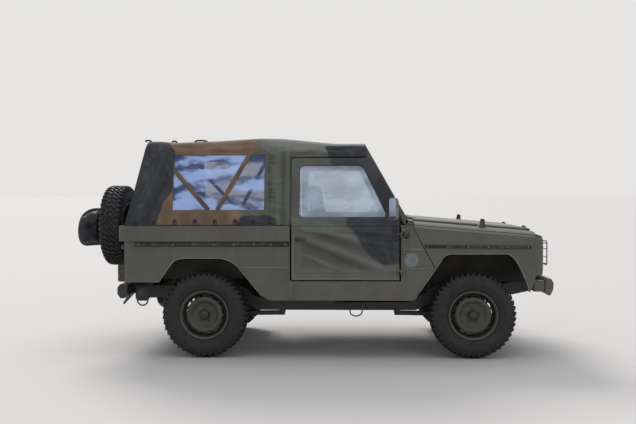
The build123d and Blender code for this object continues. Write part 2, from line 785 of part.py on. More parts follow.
# Headlamps: a bowl behind and a lens that bulges forward, in each round opening
with BuildPart() as headlamps:
    # Each stretch runs between two lengths and from one share of the full radius to another
    for x0, x1, first, last in ((nose_rear + 4, nose_rear + 28, 0.55, 1.0),
                                (nose_rear + 28, nose_front - 8, 1.0, 1.0),
                                (nose_front - 8, nose_front + 16, 1.0, 0.54)):
        for x, share in ((x0, first), (x1, last)):
            with BuildSketch(cross_plane(x)):
                with Locations((lamp_y, lamp_z)):
                    RegularPolygon(share * lamp_radius, lamp_sides)
        loft()
    mirror(about=Plane.XZ)
save(headlamps, "headlamps")

# Signal lamps: an indicator on each fender's shelf and a lamp block at each rear corner
with BuildPart() as signal_lamps:
    side_slab([(2440, shelf_z(2440) + 1), (2456, shelf_z(2440) + 30), (2476, shelf_z(2440) + 76),
               (2514, shelf_z(2440) + 70), (2524, shelf_z(2524) + 1)], body_half - 160, body_half - 100)
    block(-772, body_rear, body_half - 98, body_half - 12, quarter_bottom + 3, 843)
    mirror(about=Plane.XZ)
save(signal_lamps, "signal_lamps")

# Bumpers: a folded beam across each end, with dark corner pieces and a bored towing lug at the front
front_beam = [(beam_rear, 590), (beam_rear, 700), (beam_rear + 21, 716), (beam_rear + 55, 712),
              (front_reach, 672), (front_reach - 5, 612), (beam_rear + 43, 564), (beam_rear + 13, 574)]
rear_beam = [(-698, 658), (-698, 556), (-722, 534), (-760, 532), (-788, 570), (-788, 630), (-766, 658)]
with BuildPart() as front_bumper:
    side_slab(front_beam, -bumper_half, bumper_half)
    for side in (1, -1):
        inner, outer = sorted((side * (bumper_half - 100), side * (bumper_half - 8)))
        block(nose_rear + 2, beam_rear, inner, outer, 598, 694)
        inner, outer = sorted((side * (tow_half - tow_wall / 2), side * (tow_half + tow_wall / 2)))
        side_slab([(tow_x - 24, 700), (tow_x + 14, 700), (tow_x + 26, tow_z + 26),
                   (tow_x - 30, tow_z + 26)], inner, outer)
        rod_across(tow_x, tow_z, inner - 1, outer + 1, tow_bore, Mode.SUBTRACT)
save(front_bumper, "front_bumper")
with BuildPart() as rear_bumper:
    side_slab(rear_beam, -bumper_half, bumper_half)
    # The towing jaw is two plates either side of a gap, bored upright for one pin
    for z in (hitch_z - hitch_gap / 2 - hitch_wall, hitch_z + hitch_gap / 2):
        block(hitch_x - 34, -760, -55, 55, z, z + hitch_wall)
        post(hitch_x, 0, z - 1, z + hitch_wall + 1, hitch_bore, Mode.SUBTRACT)
    # A lever for the jaw's catch hangs on the right
    side_slab([(-764, 560), (-764, 518), (-868, 408), (-882, 418), (-792, 560)],
              -hitch_lever_y - 8, -hitch_lever_y)
save(rear_bumper, "rear_bumper")

# Tie-downs: a plate under each rear corner with a ring hanging in it
with BuildPart() as tie_downs:
    block(-633, -505, -tie_down_y - 5, -tie_down_y + 5, 507, load_floor_top - floor_wall)
    with BuildSketch(side_plane(-tie_down_y + ring_wire)):
        with Locations((-569, 512)):
            RegularPolygon(ring_radius, 12)
            RegularPolygon(ring_radius - 2 * ring_wire, 12, mode=Mode.SUBTRACT)
    extrude(amount=2 * ring_wire)
    mirror(about=Plane.XZ)
save(tie_downs, "tie_downs")

# Soft top: a shell with the true outer form, open below the belt, over the doors and at the windscreen
canvas_foot = belt_top + seat_gap


def canvas_cross(inset):
    """Cross outline of the soft top: leaning sides, a bevelled shoulder and a flat crown."""
    half_foot = side_y(canvas_foot) - panel_gap - inset
    half_shoulder = side_y(roof_shoulder) - panel_gap - inset
    foot = canvas_foot - (1 if inset else 0)
    return [(-half_foot, foot), (half_foot, foot), (half_shoulder, roof_shoulder),
            (roof_crown_half - inset, 1990), (-roof_crown_half + inset, 1990),
            (-half_shoulder, roof_shoulder)]


def canvas_side(inset):
    """Side outline of the soft top, less the canvas's thickness on the roof and the rear."""
    overrun = 1 if inset else 0
    roof = [(x, z - inset) for x, z in roof_line]
    roof[0] = (roof[0][0] + inset, roof[0][1])
    return ([(canvas_rear_foot + inset, canvas_foot - overrun)] + roof
            + [(canvas_front + overrun, roof[-1][1]), (canvas_front + overrun, canvas_foot - overrun)])


with BuildPart() as canvas_inside:
    cross_slab(canvas_cross(canvas_wall), body_rear, canvas_front + 2)
    side_slab(canvas_side(canvas_wall), -body_half, body_half, Mode.INTERSECT)
with BuildPart() as soft_top:
    cross_slab(canvas_cross(0), body_rear, canvas_front)
    side_slab(canvas_side(0), -body_half, body_half, Mode.INTERSECT)
    add(canvas_inside.part, mode=Mode.SUBTRACT)
    block(post_front, canvas_front + 5, -body_half, body_half, canvas_foot - 5, door_top + door_gap,
          Mode.SUBTRACT)
    block(*window_x, -body_half, body_half, *window_z, Mode.SUBTRACT)
    block(-720, -500, -rear_window_half, rear_window_half, *rear_window_z, Mode.SUBTRACT)
save(soft_top, "soft_top")
with BuildPart() as soft_top_windows:
    cross_slab(canvas_cross(pane_inset), body_rear, canvas_front)
    side_slab(canvas_side(pane_inset), -body_half, body_half, Mode.INTERSECT)
    with BuildPart(mode=Mode.PRIVATE) as panes_inside:
        cross_slab(canvas_cross(pane_inset + door_pane_wall), body_rear, canvas_front + 2)
        side_slab(canvas_side(pane_inset + door_pane_wall), -body_half, body_half, Mode.INTERSECT)
    add(panes_inside.part, mode=Mode.SUBTRACT)
    with BuildPart(mode=Mode.PRIVATE) as pane_openings:
        block(*window_x, -body_half, body_half, *window_z)
        block(-720, -500, -rear_window_half, rear_window_half, *rear_window_z)
    add(pane_openings.part, mode=Mode.INTERSECT)
save(soft_top_windows, "soft_top_windows")

# Hoops under the canvas: two leaning hoops joined by a rail, and a flat post at each door's rear edge
with BuildPart() as top_bows:
    for x_foot, x_head, head_z in ((-640, -478, 1916), (560, 560, 1945)):
        x_bend = x_foot + (x_head - x_foot) * (bow_bend_z - belt_top) / (head_z - belt_top)
        foot_y = side_y(belt_top) - bow_inset
        bend_y = side_y(bow_bend_z) - bow_inset
        half_hoop = [(rear_axle_x + x_foot, foot_y, belt_top), (rear_axle_x + x_bend, bend_y, bow_bend_z),
                     (rear_axle_x + x_head, bow_crown_half, head_z)]
        other_half = [(x, -y, z) for x, y, z in reversed(half_hoop)]
        with BuildLine() as hoop:
            FilletPolyline(*half_hoop, *other_half, radius=bow_bend_radius)
        with BuildSketch(Plane(origin=hoop.line @ 0, z_dir=hoop.line % 0)):
            RegularPolygon(bow_radius, 6)
        sweep(path=hoop.line)
    for side in (1, -1):
        cross_slab([(side * (side_y(belt_top) - 16), belt_top), (side * (side_y(belt_top) - 34), belt_top),
                    (side * (side_y(1880) - 34), 1880), (side * (side_y(1880) - 16), 1880)],
                   post_front - 50, post_front - 2)
    block(post_front - 50, post_front - 2, -(side_y(1880) - 34), side_y(1880) - 34, 1862, 1880)
    block(body_rear, door_rear, -body_half, body_half, belt_top - 50, belt_top, Mode.SUBTRACT)
save(top_bows, "top_bows")

# Doors: a deep lower panel, a leaning frame round the vinyl pane, a handle, and hinge eyes on the front edge
door_shape = [(door_rear, door_bottom), (door_front, door_bottom), (door_front, 1100), (1735, 1377),
              (1500, door_top), (door_rear, door_top)]
pane_shape = [(857, 1266), (865, 1717), (1418, 1719), (1636, 1264)]


def leaning_slab(inset, wall, foot):
    """Cross outline of a sheet that leans in with the upper body on the right side."""
    return [(-side_y(foot) + inset, foot), (-side_y(foot) + inset + wall, foot),
            (-side_y(1850) + inset + wall, 1850), (-side_y(1850) + inset, 1850)]


with BuildPart() as door_right:
    cross_slab([(-body_half, door_bottom - 5), (-body_half + door_wall, door_bottom - 5),
                (-body_half + door_wall, belt_top - 4), (-side_y(1850) + door_frame_wall, 1850),
                (-side_y(1850), 1850), (-body_half, belt_top)], door_rear, door_front)
    side_slab(door_shape, -body_half - 1, -600, Mode.INTERSECT)
    side_slab(pane_shape, -body_half - 1, -600, Mode.SUBTRACT)
    for z in hinge_heights:
        half_eye = hinge_eye / 2 - pin_gap
        eye_shape(door_hinge_x, -door_hinge_y, door_front - 26 - door_hinge_x, -body_half, z - half_eye,
                  z + half_eye)
        post(door_hinge_x, -door_hinge_y, z - half_eye, z + half_eye, hinge_pin_radius + pin_gap,
             Mode.SUBTRACT)
    rod_across(door_rear + 61, 1066, -body_half - 26, -body_half, 13, sides=8)
    block(door_rear + 50, door_rear + 140, -body_half - 34, -body_half - 22, 1056, 1078)
save_pair(door_right, "door")
with BuildPart() as door_pane_right:
    cross_slab(leaning_slab(8, door_pane_wall, belt_top), door_rear, door_front)
    side_slab(pane_shape, -body_half - 1, -600, Mode.INTERSECT)
save_pair(door_pane_right, "door_pane")

# Mirrors: a head on a tube arm that is clamped to the door's front edge
arm_x = 1727
arm_y = body_half + 54
with BuildPart() as mirror_right:
    post(arm_x, -arm_y, 1062, 1419, mirror_tube_radius, sides=6)
    for z in (1072, 1156):
        block(arm_x - 8, arm_x + 8, -arm_y, -body_half, z - 8, z + 8)
    block(1690, arm_x, -arm_y - 8, -arm_y + 8, 1330, 1346)
    head_turn = radians(-63)
    head_plane = Plane(origin=(rear_axle_x + 1692, -arm_y - 34, 1236), z_dir=(0, 0, 1),
                       x_dir=(cos(head_turn), sin(head_turn), 0))
    with BuildSketch(head_plane):
        outline([(-65, -18), (65, -18), (65, 4), (52, 18), (-52, 18), (-65, 4)])
    extrude(amount=201)
save_pair(mirror_right, "mirror")

# Hood: a raised pan between the fender shelves, turned down at its sides, with two eyes at the rear
hood_run = hood_front - hood_rear
hood_top = shelf_z(hood_rear) + hood_rise
with BuildPart() as hood:
    with BuildSketch(cross_plane(hood_rear)):
        outline([(-hood_half, hood_top - 10), (-hood_half + 12, hood_top), (hood_half - 12, hood_top),
                 (hood_half, hood_top - 10), (hood_half, hood_top - hood_flange),
                 (hood_half - hood_wall, hood_top - hood_flange),
                 (hood_half - hood_wall, hood_top - hood_skin),
                 (-hood_half + hood_wall, hood_top - hood_skin),
                 (-hood_half + hood_wall, hood_top - hood_flange), (-hood_half, hood_top - hood_flange)])
    extrude(amount=hood_run, dir=(cos(radians(shelf_slope)), 0, -sin(radians(shelf_slope))))
    for side in (1, -1):
        eye = hood_eye / 2 - pin_gap
        y0, y1 = side * hood_hinge_y - eye, side * hood_hinge_y + eye
        eye_radius = hood_hinge_z - cowl_top - pin_gap
        side_slab([(hood_hinge_x, hood_hinge_z + 2), (hood_rear, hood_top - 6),
                   (hood_rear + 44, hood_top - 8), (hood_rear + 44, hood_top + 1), (hood_rear, hood_top + 5),
                   (hood_hinge_x, hood_hinge_z + eye_radius)], y0, y1)
        rod_across(hood_hinge_x, hood_hinge_z, y0, y1, eye_radius, sides=6)
        rod_across(hood_hinge_x, hood_hinge_z, y0, y1, hood_pin_radius + pin_gap, Mode.SUBTRACT)
save(hood, "hood")

# Tailgate: a flat panel with hinge eyes on its right edge and the carrier of the spare wheel
with BuildPart() as tailgate:
    block(tailgate_outer, tailgate_inner, -tailgate_half, tailgate_half, tailgate_bottom,
          belt_top - door_gap)
    rod_along(spare_y, spare_z, spare_x - disc_offset + 1, tailgate_outer, spindle_radius, sides=12)
    for z in tailgate_hinge_heights:
        half_eye = hinge_eye / 2 - pin_gap
        block(tailgate_hinge_x - 4, tailgate_outer, -tailgate_hinge_y, -tailgate_hinge_y + 60,
              z - half_eye, z + half_eye)
        post(tailgate_hinge_x, -tailgate_hinge_y, z - half_eye, z + half_eye, hinge_radius, sides=6)
        post(tailgate_hinge_x, -tailgate_hinge_y, z - half_eye, z + half_eye, hinge_pin_radius + pin_gap,
             Mode.SUBTRACT)
save(tailgate, "tailgate")

# Bag strapped behind the spare wheel
with BuildPart() as spare_bag:
    side_slab([(bag_front, bag_low), (bag_front, 1322), (-1150, 1326), (-1240, 1270), (bag_rear, 1160),
               (bag_rear + 6, bag_low)], spare_y - bag_half, spare_y + bag_half)
save(spare_bag, "spare_bag")

# Front seats: a cushion and a leaning back on a plinth, side by side
seat_half = 240
plinth_top = 830
cushion_top = 950
with BuildPart() as front_seats:
    for y in (-column_y, column_y):
        block(1010, 1450, y - seat_half + 30, y + seat_half - 30, cab_floor_top, plinth_top)
        block(1000, 1470, y - seat_half, y + seat_half, plinth_top, cushion_top)
        side_slab([(1000, cushion_top + seat_gap), (1110, cushion_top + seat_gap), (1000, 1560),
                   (900, 1560)], y - seat_half + 10, y + seat_half - 10)
save(front_seats, "front_seats")
with BuildPart() as rear_benches:
    for side in (1, -1):
        inner, outer = sorted((side * (box_half - 222), side * (box_half - 7)))
        block(-560, 560, inner, outer, load_floor_top, 1000)
save(rear_benches, "rear_benches")

# Dashboard, steering column and steering wheel
column_axis = (-cos(radians(90 - column_lean)), 0, sin(radians(90 - column_lean)))
column_top = Vector(rear_axle_x + column_x, column_y, column_z)
column_plane = Plane(origin=column_top, x_dir=(0, 1, 0), z_dir=column_axis)
with BuildPart() as dashboard:
    side_slab([(1640, 960), (1740, 960), (1756, 1090), (1756, 1180), (1650, 1150)], -dash_half, dash_half)
    block(1740, bulkhead_front - bulkhead_wall, -dash_half, dash_half, 960, 1095)
    with BuildSketch(column_plane.offset(-column_reach)):
        RegularPolygon(column_radius + seat_gap, 12)
    extrude(amount=column_reach - 30, mode=Mode.SUBTRACT)
save(dashboard, "dashboard")
with BuildPart() as steering_column:
    with BuildSketch(column_plane.offset(-column_reach)):
        RegularPolygon(column_radius, 12)
    extrude(amount=column_reach - 29 - seat_gap)
save(steering_column, "steering_column")
with BuildPart() as steering_wheel:
    with BuildSketch(column_plane.offset(-grip_radius)):
        RegularPolygon(grip_ring_radius, 16)
        RegularPolygon(grip_ring_radius - 2 * grip_radius, 16, mode=Mode.SUBTRACT)
        Rectangle(2 * grip_ring_radius - 30, 34)
        with Locations((0, 0.5 * grip_ring_radius)):
            Rectangle(34, grip_ring_radius - 20)
        RegularPolygon(45, 8)
    extrude(amount=2 * grip_radius)
    with BuildSketch(column_plane.offset(-29)):
        Circle(20)
    extrude(amount=29)
save(steering_wheel, "steering_wheel")
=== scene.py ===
import bmesh
import bpy
import numpy as np
from mathutils import Matrix, Vector


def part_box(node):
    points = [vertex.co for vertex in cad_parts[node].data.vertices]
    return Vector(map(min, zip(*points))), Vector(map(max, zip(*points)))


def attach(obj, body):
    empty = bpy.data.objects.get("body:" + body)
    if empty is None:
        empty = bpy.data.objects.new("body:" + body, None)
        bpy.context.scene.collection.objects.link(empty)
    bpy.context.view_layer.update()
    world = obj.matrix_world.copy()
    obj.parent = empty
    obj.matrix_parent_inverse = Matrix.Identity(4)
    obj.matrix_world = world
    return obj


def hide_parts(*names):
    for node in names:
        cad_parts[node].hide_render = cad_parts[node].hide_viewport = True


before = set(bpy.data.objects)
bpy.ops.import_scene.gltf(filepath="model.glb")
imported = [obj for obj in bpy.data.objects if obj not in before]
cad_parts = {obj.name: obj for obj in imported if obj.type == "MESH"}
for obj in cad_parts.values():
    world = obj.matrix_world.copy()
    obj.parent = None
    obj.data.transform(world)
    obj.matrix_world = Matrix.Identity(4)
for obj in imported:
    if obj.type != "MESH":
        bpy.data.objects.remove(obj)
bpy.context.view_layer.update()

# Running gear: a black steel box frame, axle tubes, gearbox and tank under the floor.
# The frame is welded and dipped in black paint, and everything under the floor is filmed with
# dry road dust. These solids are right as they are and only get their real finish.
rear_axle_x, front_axle_x = (float(np.mean([corner[0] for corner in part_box(f"tyre_{end}_left")]))
                             for end in ("rear", "front"))
axle_z = float(np.mean([corner[2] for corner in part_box("rim_rear_left")]))
wheelbase = front_axle_x - rear_axle_x


def from_axle(points):
    """Points given from the rear axle, moved into the car's frame."""
    return np.asarray(points, float) + np.array([rear_axle_x, 0.0, 0.0])


class Nodes:
    """A node tree being built. Its inputs take numbers, colours and other nodes' outputs."""

    def __init__(self, tree):
        self.tree = tree

    def feed(self, value, socket):
        if isinstance(value, (int, float)):
            socket.default_value = value
        elif isinstance(value, tuple):
            socket.default_value = (*value, 1.0) if len(socket.default_value) == 4 else value
        else:
            self.tree.links.new(value, socket)

    def node(self, kind, output, inputs=None, **settings):
        """Add a node with its settings, feed its inputs and hand over one of its outputs."""
        made = self.tree.nodes.new(kind)
        for key, value in settings.items():
            setattr(made, key, value)
        for key, value in (inputs or {}).items():
            self.feed(value, made.inputs[key])
        return made.outputs[output]

    def sum(self, first, second, how="ADD"):
        """Two values added, multiplied or otherwise combined."""
        return self.node("ShaderNodeMath", "Value", {0: first, 1: second}, operation=how)


class Finish(Nodes):
    """A material being mixed: its patterns read the piece's own Object coordinates."""

    def __init__(self, name, roughness=0.6, metallic=0.0, more=None):
        self.material = bpy.data.materials.new(name)
        self.material.use_nodes = True
        super().__init__(self.material.node_tree)
        self.shader = self.tree.nodes["Principled BSDF"]
        for key, value in {"Roughness": roughness, "Metallic": metallic, **(more or {})}.items():
            self.feed(value, self.shader.inputs[key])
        self.place = self.node("ShaderNodeTexCoord", "Object")

    def stretched(self, scale, turn=(0, 0, 0)):
        """The Object coordinates multiplied along each axis, after a turn in radians."""
        return self.node("ShaderNodeMapping", "Vector", {"Vector": self.place, "Scale": scale,
                                                         "Rotation": turn})

    def mottle(self, scale, detail=4.0, place=None, rough=0.55):
        """Soft random patches, 0 to 1, a given number to the metre."""
        return self.node("ShaderNodeTexNoise", "Fac", {"Vector": place or self.place, "Scale": scale,
                                                       "Detail": detail, "Roughness": rough})

    def bands(self, scale, direction):
        """Even moulded bands across one axis."""
        return self.node("ShaderNodeTexWave", "Fac", {"Vector": self.place, "Scale": scale},
                         bands_direction=direction)

    def step(self, value, low, high, first=0.0, last=1.0):
        """A smooth rise from first to last as the value goes from low to high."""
        return self.node("ShaderNodeMapRange", "Result", {"Value": value, "From Min": low,
                                                          "From Max": high, "To Min": first,
                                                          "To Max": last},
                         interpolation_type="SMOOTHSTEP")

    def stored(self, name):
        """A number stored at the piece's points."""
        return self.node("ShaderNodeAttribute", "Fac", attribute_name=name)

    def folded(self, shade, depth=0.35):
        """A colour with painted light on a cloth's stored folds: a painted highlight on their ridges and
        painted shade in their hollows.
        """
        light = self.sum(self.sum(self.stored("fold"), depth, "MULTIPLY"), 1.0)
        return self.node("ShaderNodeHueSaturation", "Color", {"Value": light, "Color": shade})

    def height(self):
        """Height above the ground."""
        return self.node("ShaderNodeSeparateXYZ", "Z", {"Vector": self.place})

    def mixed(self, share, first, second):
        """One colour going over to another by a share."""
        return self.node("ShaderNodeMix", 2, {0: share, 6: first, 7: second}, data_type="RGBA")

    def relief(self, *layers, edge=0.0):
        """Surface relief: layers of (height, depth in metres), over edges rounded by a radius."""
        below = {"Normal": self.node("ShaderNodeBevel", "Normal", {"Radius": edge},
                                     samples=6)} if edge else {}
        for height, depth in layers:
            below = {"Normal": self.node("ShaderNodeBump", "Normal", {
                "Distance": depth, "Strength": 1.0, "Height": height, **below})}
        self.feed(below["Normal"], self.shader.inputs["Normal"])

    def painted(self, colour, roughness=None):
        """Feed the colour and roughness into the shader and hand over the material."""
        self.feed(colour, self.shader.inputs["Base Color"])
        if roughness is not None:
            self.feed(roughness, self.shader.inputs["Roughness"])
        return self.material


def mottled(name, first, second, patch, grain=None, edge=0.0, rough=0.6, metallic=0.0):
    """A finish that goes over from one colour to another in soft patches: (number to the metre,
    detail, low, high). Its grain is (number, detail, depth), and where rough is a pair, each
    colour has its own."""
    mix = Finish(name, rough if isinstance(rough, float) else rough[0], metallic)
    share = mix.step(mix.mottle(*patch[:2]), *patch[2:])
    if grain:
        mix.relief((mix.mottle(*grain[:2]), grain[2]), edge=edge)
    return mix.painted(mix.mixed(share, first, second),
                       None if isinstance(rough, float) else mix.step(share, 0.0, 1.0, *rough))


def wear(nodes, material):
    """Give CAD nodes a material in place of their plain one."""
    for name in nodes:
        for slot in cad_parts[name].material_slots:
            slot.material = material


mix = Finish("chassis_black", roughness=0.55)
film = mix.step(mix.mottle(9.0, 6.0), 0.42, 0.75)
low = mix.step(mix.height(), 0.25, 0.75, 0.36, 0.08)
shade = mix.mixed(mix.sum(film, low, "MULTIPLY"), (0.022, 0.022, 0.023), (0.2, 0.18, 0.15))
mix.relief((mix.mottle(260.0, 3.0), 0.0006), edge=0.003)
chassis_black = mix.painted(shade, mix.step(film, 0.0, 1.0, 0.45, 0.9))
wear(["frame", "axles", "knuckle_left", "knuckle_right", "fuel_tank", "radiator"], chassis_black)
cast_housing = mottled("cast_housing", (0.09, 0.09, 0.088), (0.13, 0.115, 0.095), (7.0, 6.0, 0.35, 0.7),
                       (420.0, 3.0, 0.0008), edge=0.006, rough=(0.5, 0.85), metallic=0.35)
wear(["engine", "transmission"], cast_housing)
exhaust_steel = mottled("exhaust_steel", (0.085, 0.082, 0.08), (0.07, 0.042, 0.028),
                        (14.0, 8.0, 0.4, 0.66), (500.0, 4.0, 0.0006), edge=0.004, rough=(0.4, 0.85),
                        metallic=0.8)
wear(["exhaust", "tie_rod"], exhaust_steel)

# Springs, dampers and arms: four black coil springs, each with a damper behind it, and pressed
# arms that hold the axles lengthwise. The springs are wound from round bar and sit between the
# axle's seats and the frame's turrets.
spring_y, spring_radius, spring_bar, spring_turns = 0.462, 0.044, 0.0065, 5.5
spring_foot = axle_z + 0.045 + 0.014
spring_head = float(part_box("suspension")[1][2])
damper_y, damper_back, damper_pin_z = spring_y + 0.02, 0.09, 0.371
arm_y, arm_half, arm_pin_z = 0.365, 0.0235, 0.345


def mesh_piece(name, points, faces, smooth=True):
    """A piece from an array of points and a list or array of faces."""
    mesh = bpy.data.meshes.new(name)
    mesh.from_pydata(np.asarray(points, float).reshape(-1, 3).tolist(), [],
                     [list(map(int, f)) for f in faces])
    mesh.polygons.foreach_set("use_smooth", np.full(len(mesh.polygons), smooth))
    mesh.update()
    made = bpy.data.objects.new(name, mesh)
    bpy.context.scene.collection.objects.link(made)
    return made


def grid_faces(rows, columns, close_rows=False, close_columns=False):
    """Four-sided faces that join each point of a grid to its next neighbours."""
    i, j = np.meshgrid(np.arange(rows if close_rows else rows - 1),
                       np.arange(columns if close_columns else columns - 1), indexing="ij")
    i, j = i.ravel(), j.ravel()
    after_i, after_j = (i + 1) % rows, (j + 1) % columns
    return np.stack([i * columns + j, after_i * columns + j, after_i * columns + after_j,
                     i * columns + after_j], axis=1)


def unit(vectors):
    """Vectors brought to length one."""
    return vectors / np.linalg.norm(vectors, axis=-1, keepdims=True)


def swept(path, ring, up=(0.0, 0.0, 1.0), close=False):
    """Points and faces of a section carried along a path that is given from the rear axle:
    point = path + across * side + along * over, where side is square to the path and to the up
    direction, and over is square to both."""
    path, ring = from_axle(path), np.asarray(ring, float)
    tangent = unit(np.roll(path, -1, 0) - np.roll(path, 1, 0) if close else np.gradient(path, axis=0))
    side = unit(np.cross(tangent, np.asarray(up, float)))
    over = np.cross(side, tangent)
    points = path[:, None] + ring[None, :, :1] * side[:, None] + ring[None, :, 1:] * over[:, None]
    rows, columns = points.shape[:2]
    faces = grid_faces(rows, columns, close, True).tolist()
    if not close:
        faces += [list(range(columns)), [(rows - 1) * columns + k for k in reversed(range(columns))]]
    return points.reshape(-1, 3), faces


def circle(sides):
    """Cosine and sine of evenly spaced turns, starting at nought."""
    turn = np.arange(sides) / sides * 2 * np.pi
    return np.cos(turn), np.sin(turn)


def tube(path, radius, sides=8, up=(0.0, 0.0, 1.0), close=False, squeeze=(1.0, 1.0)):
    """A round bar bent along a path; squeeze flattens its section across and over the path."""
    return swept(path, radius * np.stack(circle(sides), axis=1) * squeeze, up, close)


def bar_ring(across, over):
    """An oblong section, from its two half sizes."""
    return [(-across, -over), (across, -over), (across, over), (-across, over)]


def gathered(name, parts, smooth=True):
    """One piece from several (points, faces) parts, its poles closed and its faces turned outwards."""
    points, faces, count = [], [], 0
    for part_points, part_faces in parts:
        points.append(np.asarray(part_points, float).reshape(-1, 3))
        faces.extend([[int(k) + count for k in face] for face in part_faces])
        count += len(points[-1])
    made = mesh_piece(name, np.concatenate(points), faces, smooth)
    shell = bmesh.new()
    shell.from_mesh(made.data)
    bmesh.ops.remove_doubles(shell, verts=shell.verts, dist=1e-6)
    bmesh.ops.recalc_face_normals(shell, faces=shell.faces)
    shell.to_mesh(made.data)
    shell.free()
    return made


def flowing(points, count):
    """A smooth line through the points, sampled evenly: between two points it is the cubic that
    keeps the slope of their neighbours."""
    points = np.asarray(points, float)
    padded = np.concatenate([[2 * points[0] - points[1]], points, [2 * points[-1] - points[-2]]])
    place = np.linspace(0, len(points) - 1, count)
    k = np.minimum(place.astype(int), len(points) - 2)
    t = (place - k)[:, None]
    before, first, second, after = (padded[k + n] for n in range(4))
    return 0.5 * (2 * first + (second - before) * t
                  + (2 * before - 5 * first + 4 * second - after) * t**2
                  + (3 * first - before - 3 * second + after) * t**3)


def clothed(piece, material, body, slot, *nodes):
    """Give a piece its material and its body, and hide the CAD nodes that it stands for. Its finish slot
    is not used.
    """
    piece.data.materials.clear()
    piece.data.materials.append(material)
    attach(piece, body)
    if nodes:
        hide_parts(*nodes)
    return piece


def dress(name, parts, material, slot, *nodes, body="chassis", smooth=True):
    """Join parts into one piece of the car and clothe it."""
    return clothed(gathered(name, parts, smooth=smooth), material, body, slot, *nodes)


def turned(profile, sides, centre, axes=((1, 0, 0), (0, 1, 0), (0, 0, 1))):
    """Points and faces of a (radius, height) profile turned round an axis, and set at a centre given
    from the rear axle. The axes are where the turned piece's own x, y and height point."""
    radius, height = np.asarray(profile, float).T
    cosine, sine = circle(sides)
    points = np.stack([np.outer(cosine, radius), np.outer(sine, radius), np.tile(height, (sides, 1))],
                      axis=-1)
    return (points.reshape(-1, 3) @ np.array(axes, float) + from_axle(centre),
            grid_faces(sides, len(profile), True))


def plate_part(outline, y0, y1):
    """Points and faces of a flat plate: an (x, z) outline between two distances from the middle."""
    count = len(outline)
    faces = [list(range(count)), [2 * count - 1 - k for k in range(count)]]
    faces += [[k, k + count, (k + 1) % count + count, (k + 1) % count] for k in range(count)]
    return from_axle([[x, y, z] for y in (y0, y1) for x, z in outline]), faces


def on_side(parts, side):
    """Parts made for the left side (1), or their mirror images for the right (-1)."""
    return [(np.asarray(points) * [1, side, 1], faces) for points, faces in parts]


def both_sides(parts):
    """Parts made for the left side, with their mirror images for the right."""
    return on_side(parts, 1) + on_side(parts, -1)


springs, dampers, arms = [], [], []
damper_profile = [
    (0, 0.324), (0.012, 0.324), (0.02, 0.33), (0.02, 0.47), (0.018, 0.474), (0.019, 0.476),
    (0.019, spring_head - 0.02), (0.012, spring_head - 0.014), (0.01, spring_head), (0, spring_head)]
arm_ring = [
    (-0.02, -0.018), (-0.02, 0.018), (-0.014, 0.022), (0.014, 0.022), (0.02, 0.018), (0.02, -0.018),
    (0.013, -0.018), (0.013, 0.01), (-0.013, 0.01), (-0.013, -0.018)]
angle = np.linspace(0, 2 * np.pi * spring_turns, int(22 * spring_turns))
rise = np.clip((angle - 1.6 * np.pi) / (angle[-1] - 3.2 * np.pi), 0, 1)
coil_z = np.minimum(spring_foot + spring_bar + rise * (spring_head - spring_foot - 2 * spring_bar)
                    + angle * 0.0006, spring_head - spring_bar)
for axle_x, rail_x in ((0.0, 0.67), (wheelbase, 1.75)):
    for side in (1, -1):
        springs.append(tube(np.stack([axle_x + spring_radius * np.cos(angle),
                                      side * spring_y + spring_radius * np.sin(angle), coil_z], axis=1),
                            spring_bar))
    dampers.append(turned(damper_profile, 20, (axle_x - damper_back, damper_y, 0)))
    dampers.append(swept([(axle_x - back, damper_y, damper_pin_z) for back in (0.075, 0.04)],
                         bar_ring(0.016, 0.008)))
    toward = np.sign(rail_x - axle_x)
    run = [
        (axle_x - 0.03 * toward, 0.326), (axle_x + 0.05 * toward, 0.322), (axle_x + 0.3 * toward, 0.336),
        (rail_x - 0.03 * toward, 0.341), (rail_x + 0.02 * toward, arm_pin_z)]
    arms.append(swept(flowing([(x, arm_y, z) for x, z in run], 24), arm_ring))
    arms.append(tube([(rail_x, arm_y - 0.03, arm_pin_z), (rail_x, arm_y + 0.03, arm_pin_z)], 0.014, 14))
    for face_y in (arm_y - arm_half, arm_y + arm_half):
        arms.append(plate_part([(rail_x - 0.03, 0.3715), (rail_x + 0.03, 0.3715), (rail_x + 0.02, 0.324),
                                (rail_x - 0.02, 0.324)], face_y, face_y + 0.004))
dress("coil_springs", springs, chassis_black, "black_paint")
dress("dampers", both_sides(dampers), chassis_black, "black_paint")
dress("suspension_arms", both_sides(arms), chassis_black, "black_paint", "suspension", smooth=False)

# Tyres: five tall mud tyres of black rubber on steel rims, moulded with thick shoulder lugs and
# diagonal centre blocks. The tread is dusty and the side walls are paler where they have aged.
tyre_side = [
    (0.07, 0.201), (0.074, 0.212), (0.084, 0.227), (0.097, 0.256), (0.1045, 0.29), (0.103, 0.322),
    (0.0955, 0.348), (0.08, 0.3625), (0.045, 0.3668), (0.0, 0.368)]
lug_count, lug_stations = 23, 7
tread_radius = 0.384
wheel_bodies = {"front_left": "wheel_front_left", "front_right": "wheel_front_right",
                "rear_left": "wheel_rear_left", "rear_right": "wheel_rear_right", "spare": "tailgate"}


def on_wheel(parts, wheel):
    """Parts of a wheel lying on its own centre with its face along +Y, set at a wheel's place:
    turned half round for the right, and a quarter for the spare, whose face is to the rear."""
    turn = {"left": 0.0, "right": np.pi, "spare": np.pi / 2}[wheel.split("_")[-1]]
    cosine, sine = np.cos(turn), np.sin(turn)
    centre = np.mean([tuple(corner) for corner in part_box(f"tyre_{wheel}")], axis=0)
    return [(np.stack([p[:, 0] * cosine - p[:, 1] * sine, p[:, 0] * sine + p[:, 1] * cosine, p[:, 2]],
                      axis=1) + centre, faces) for p, faces in parts]


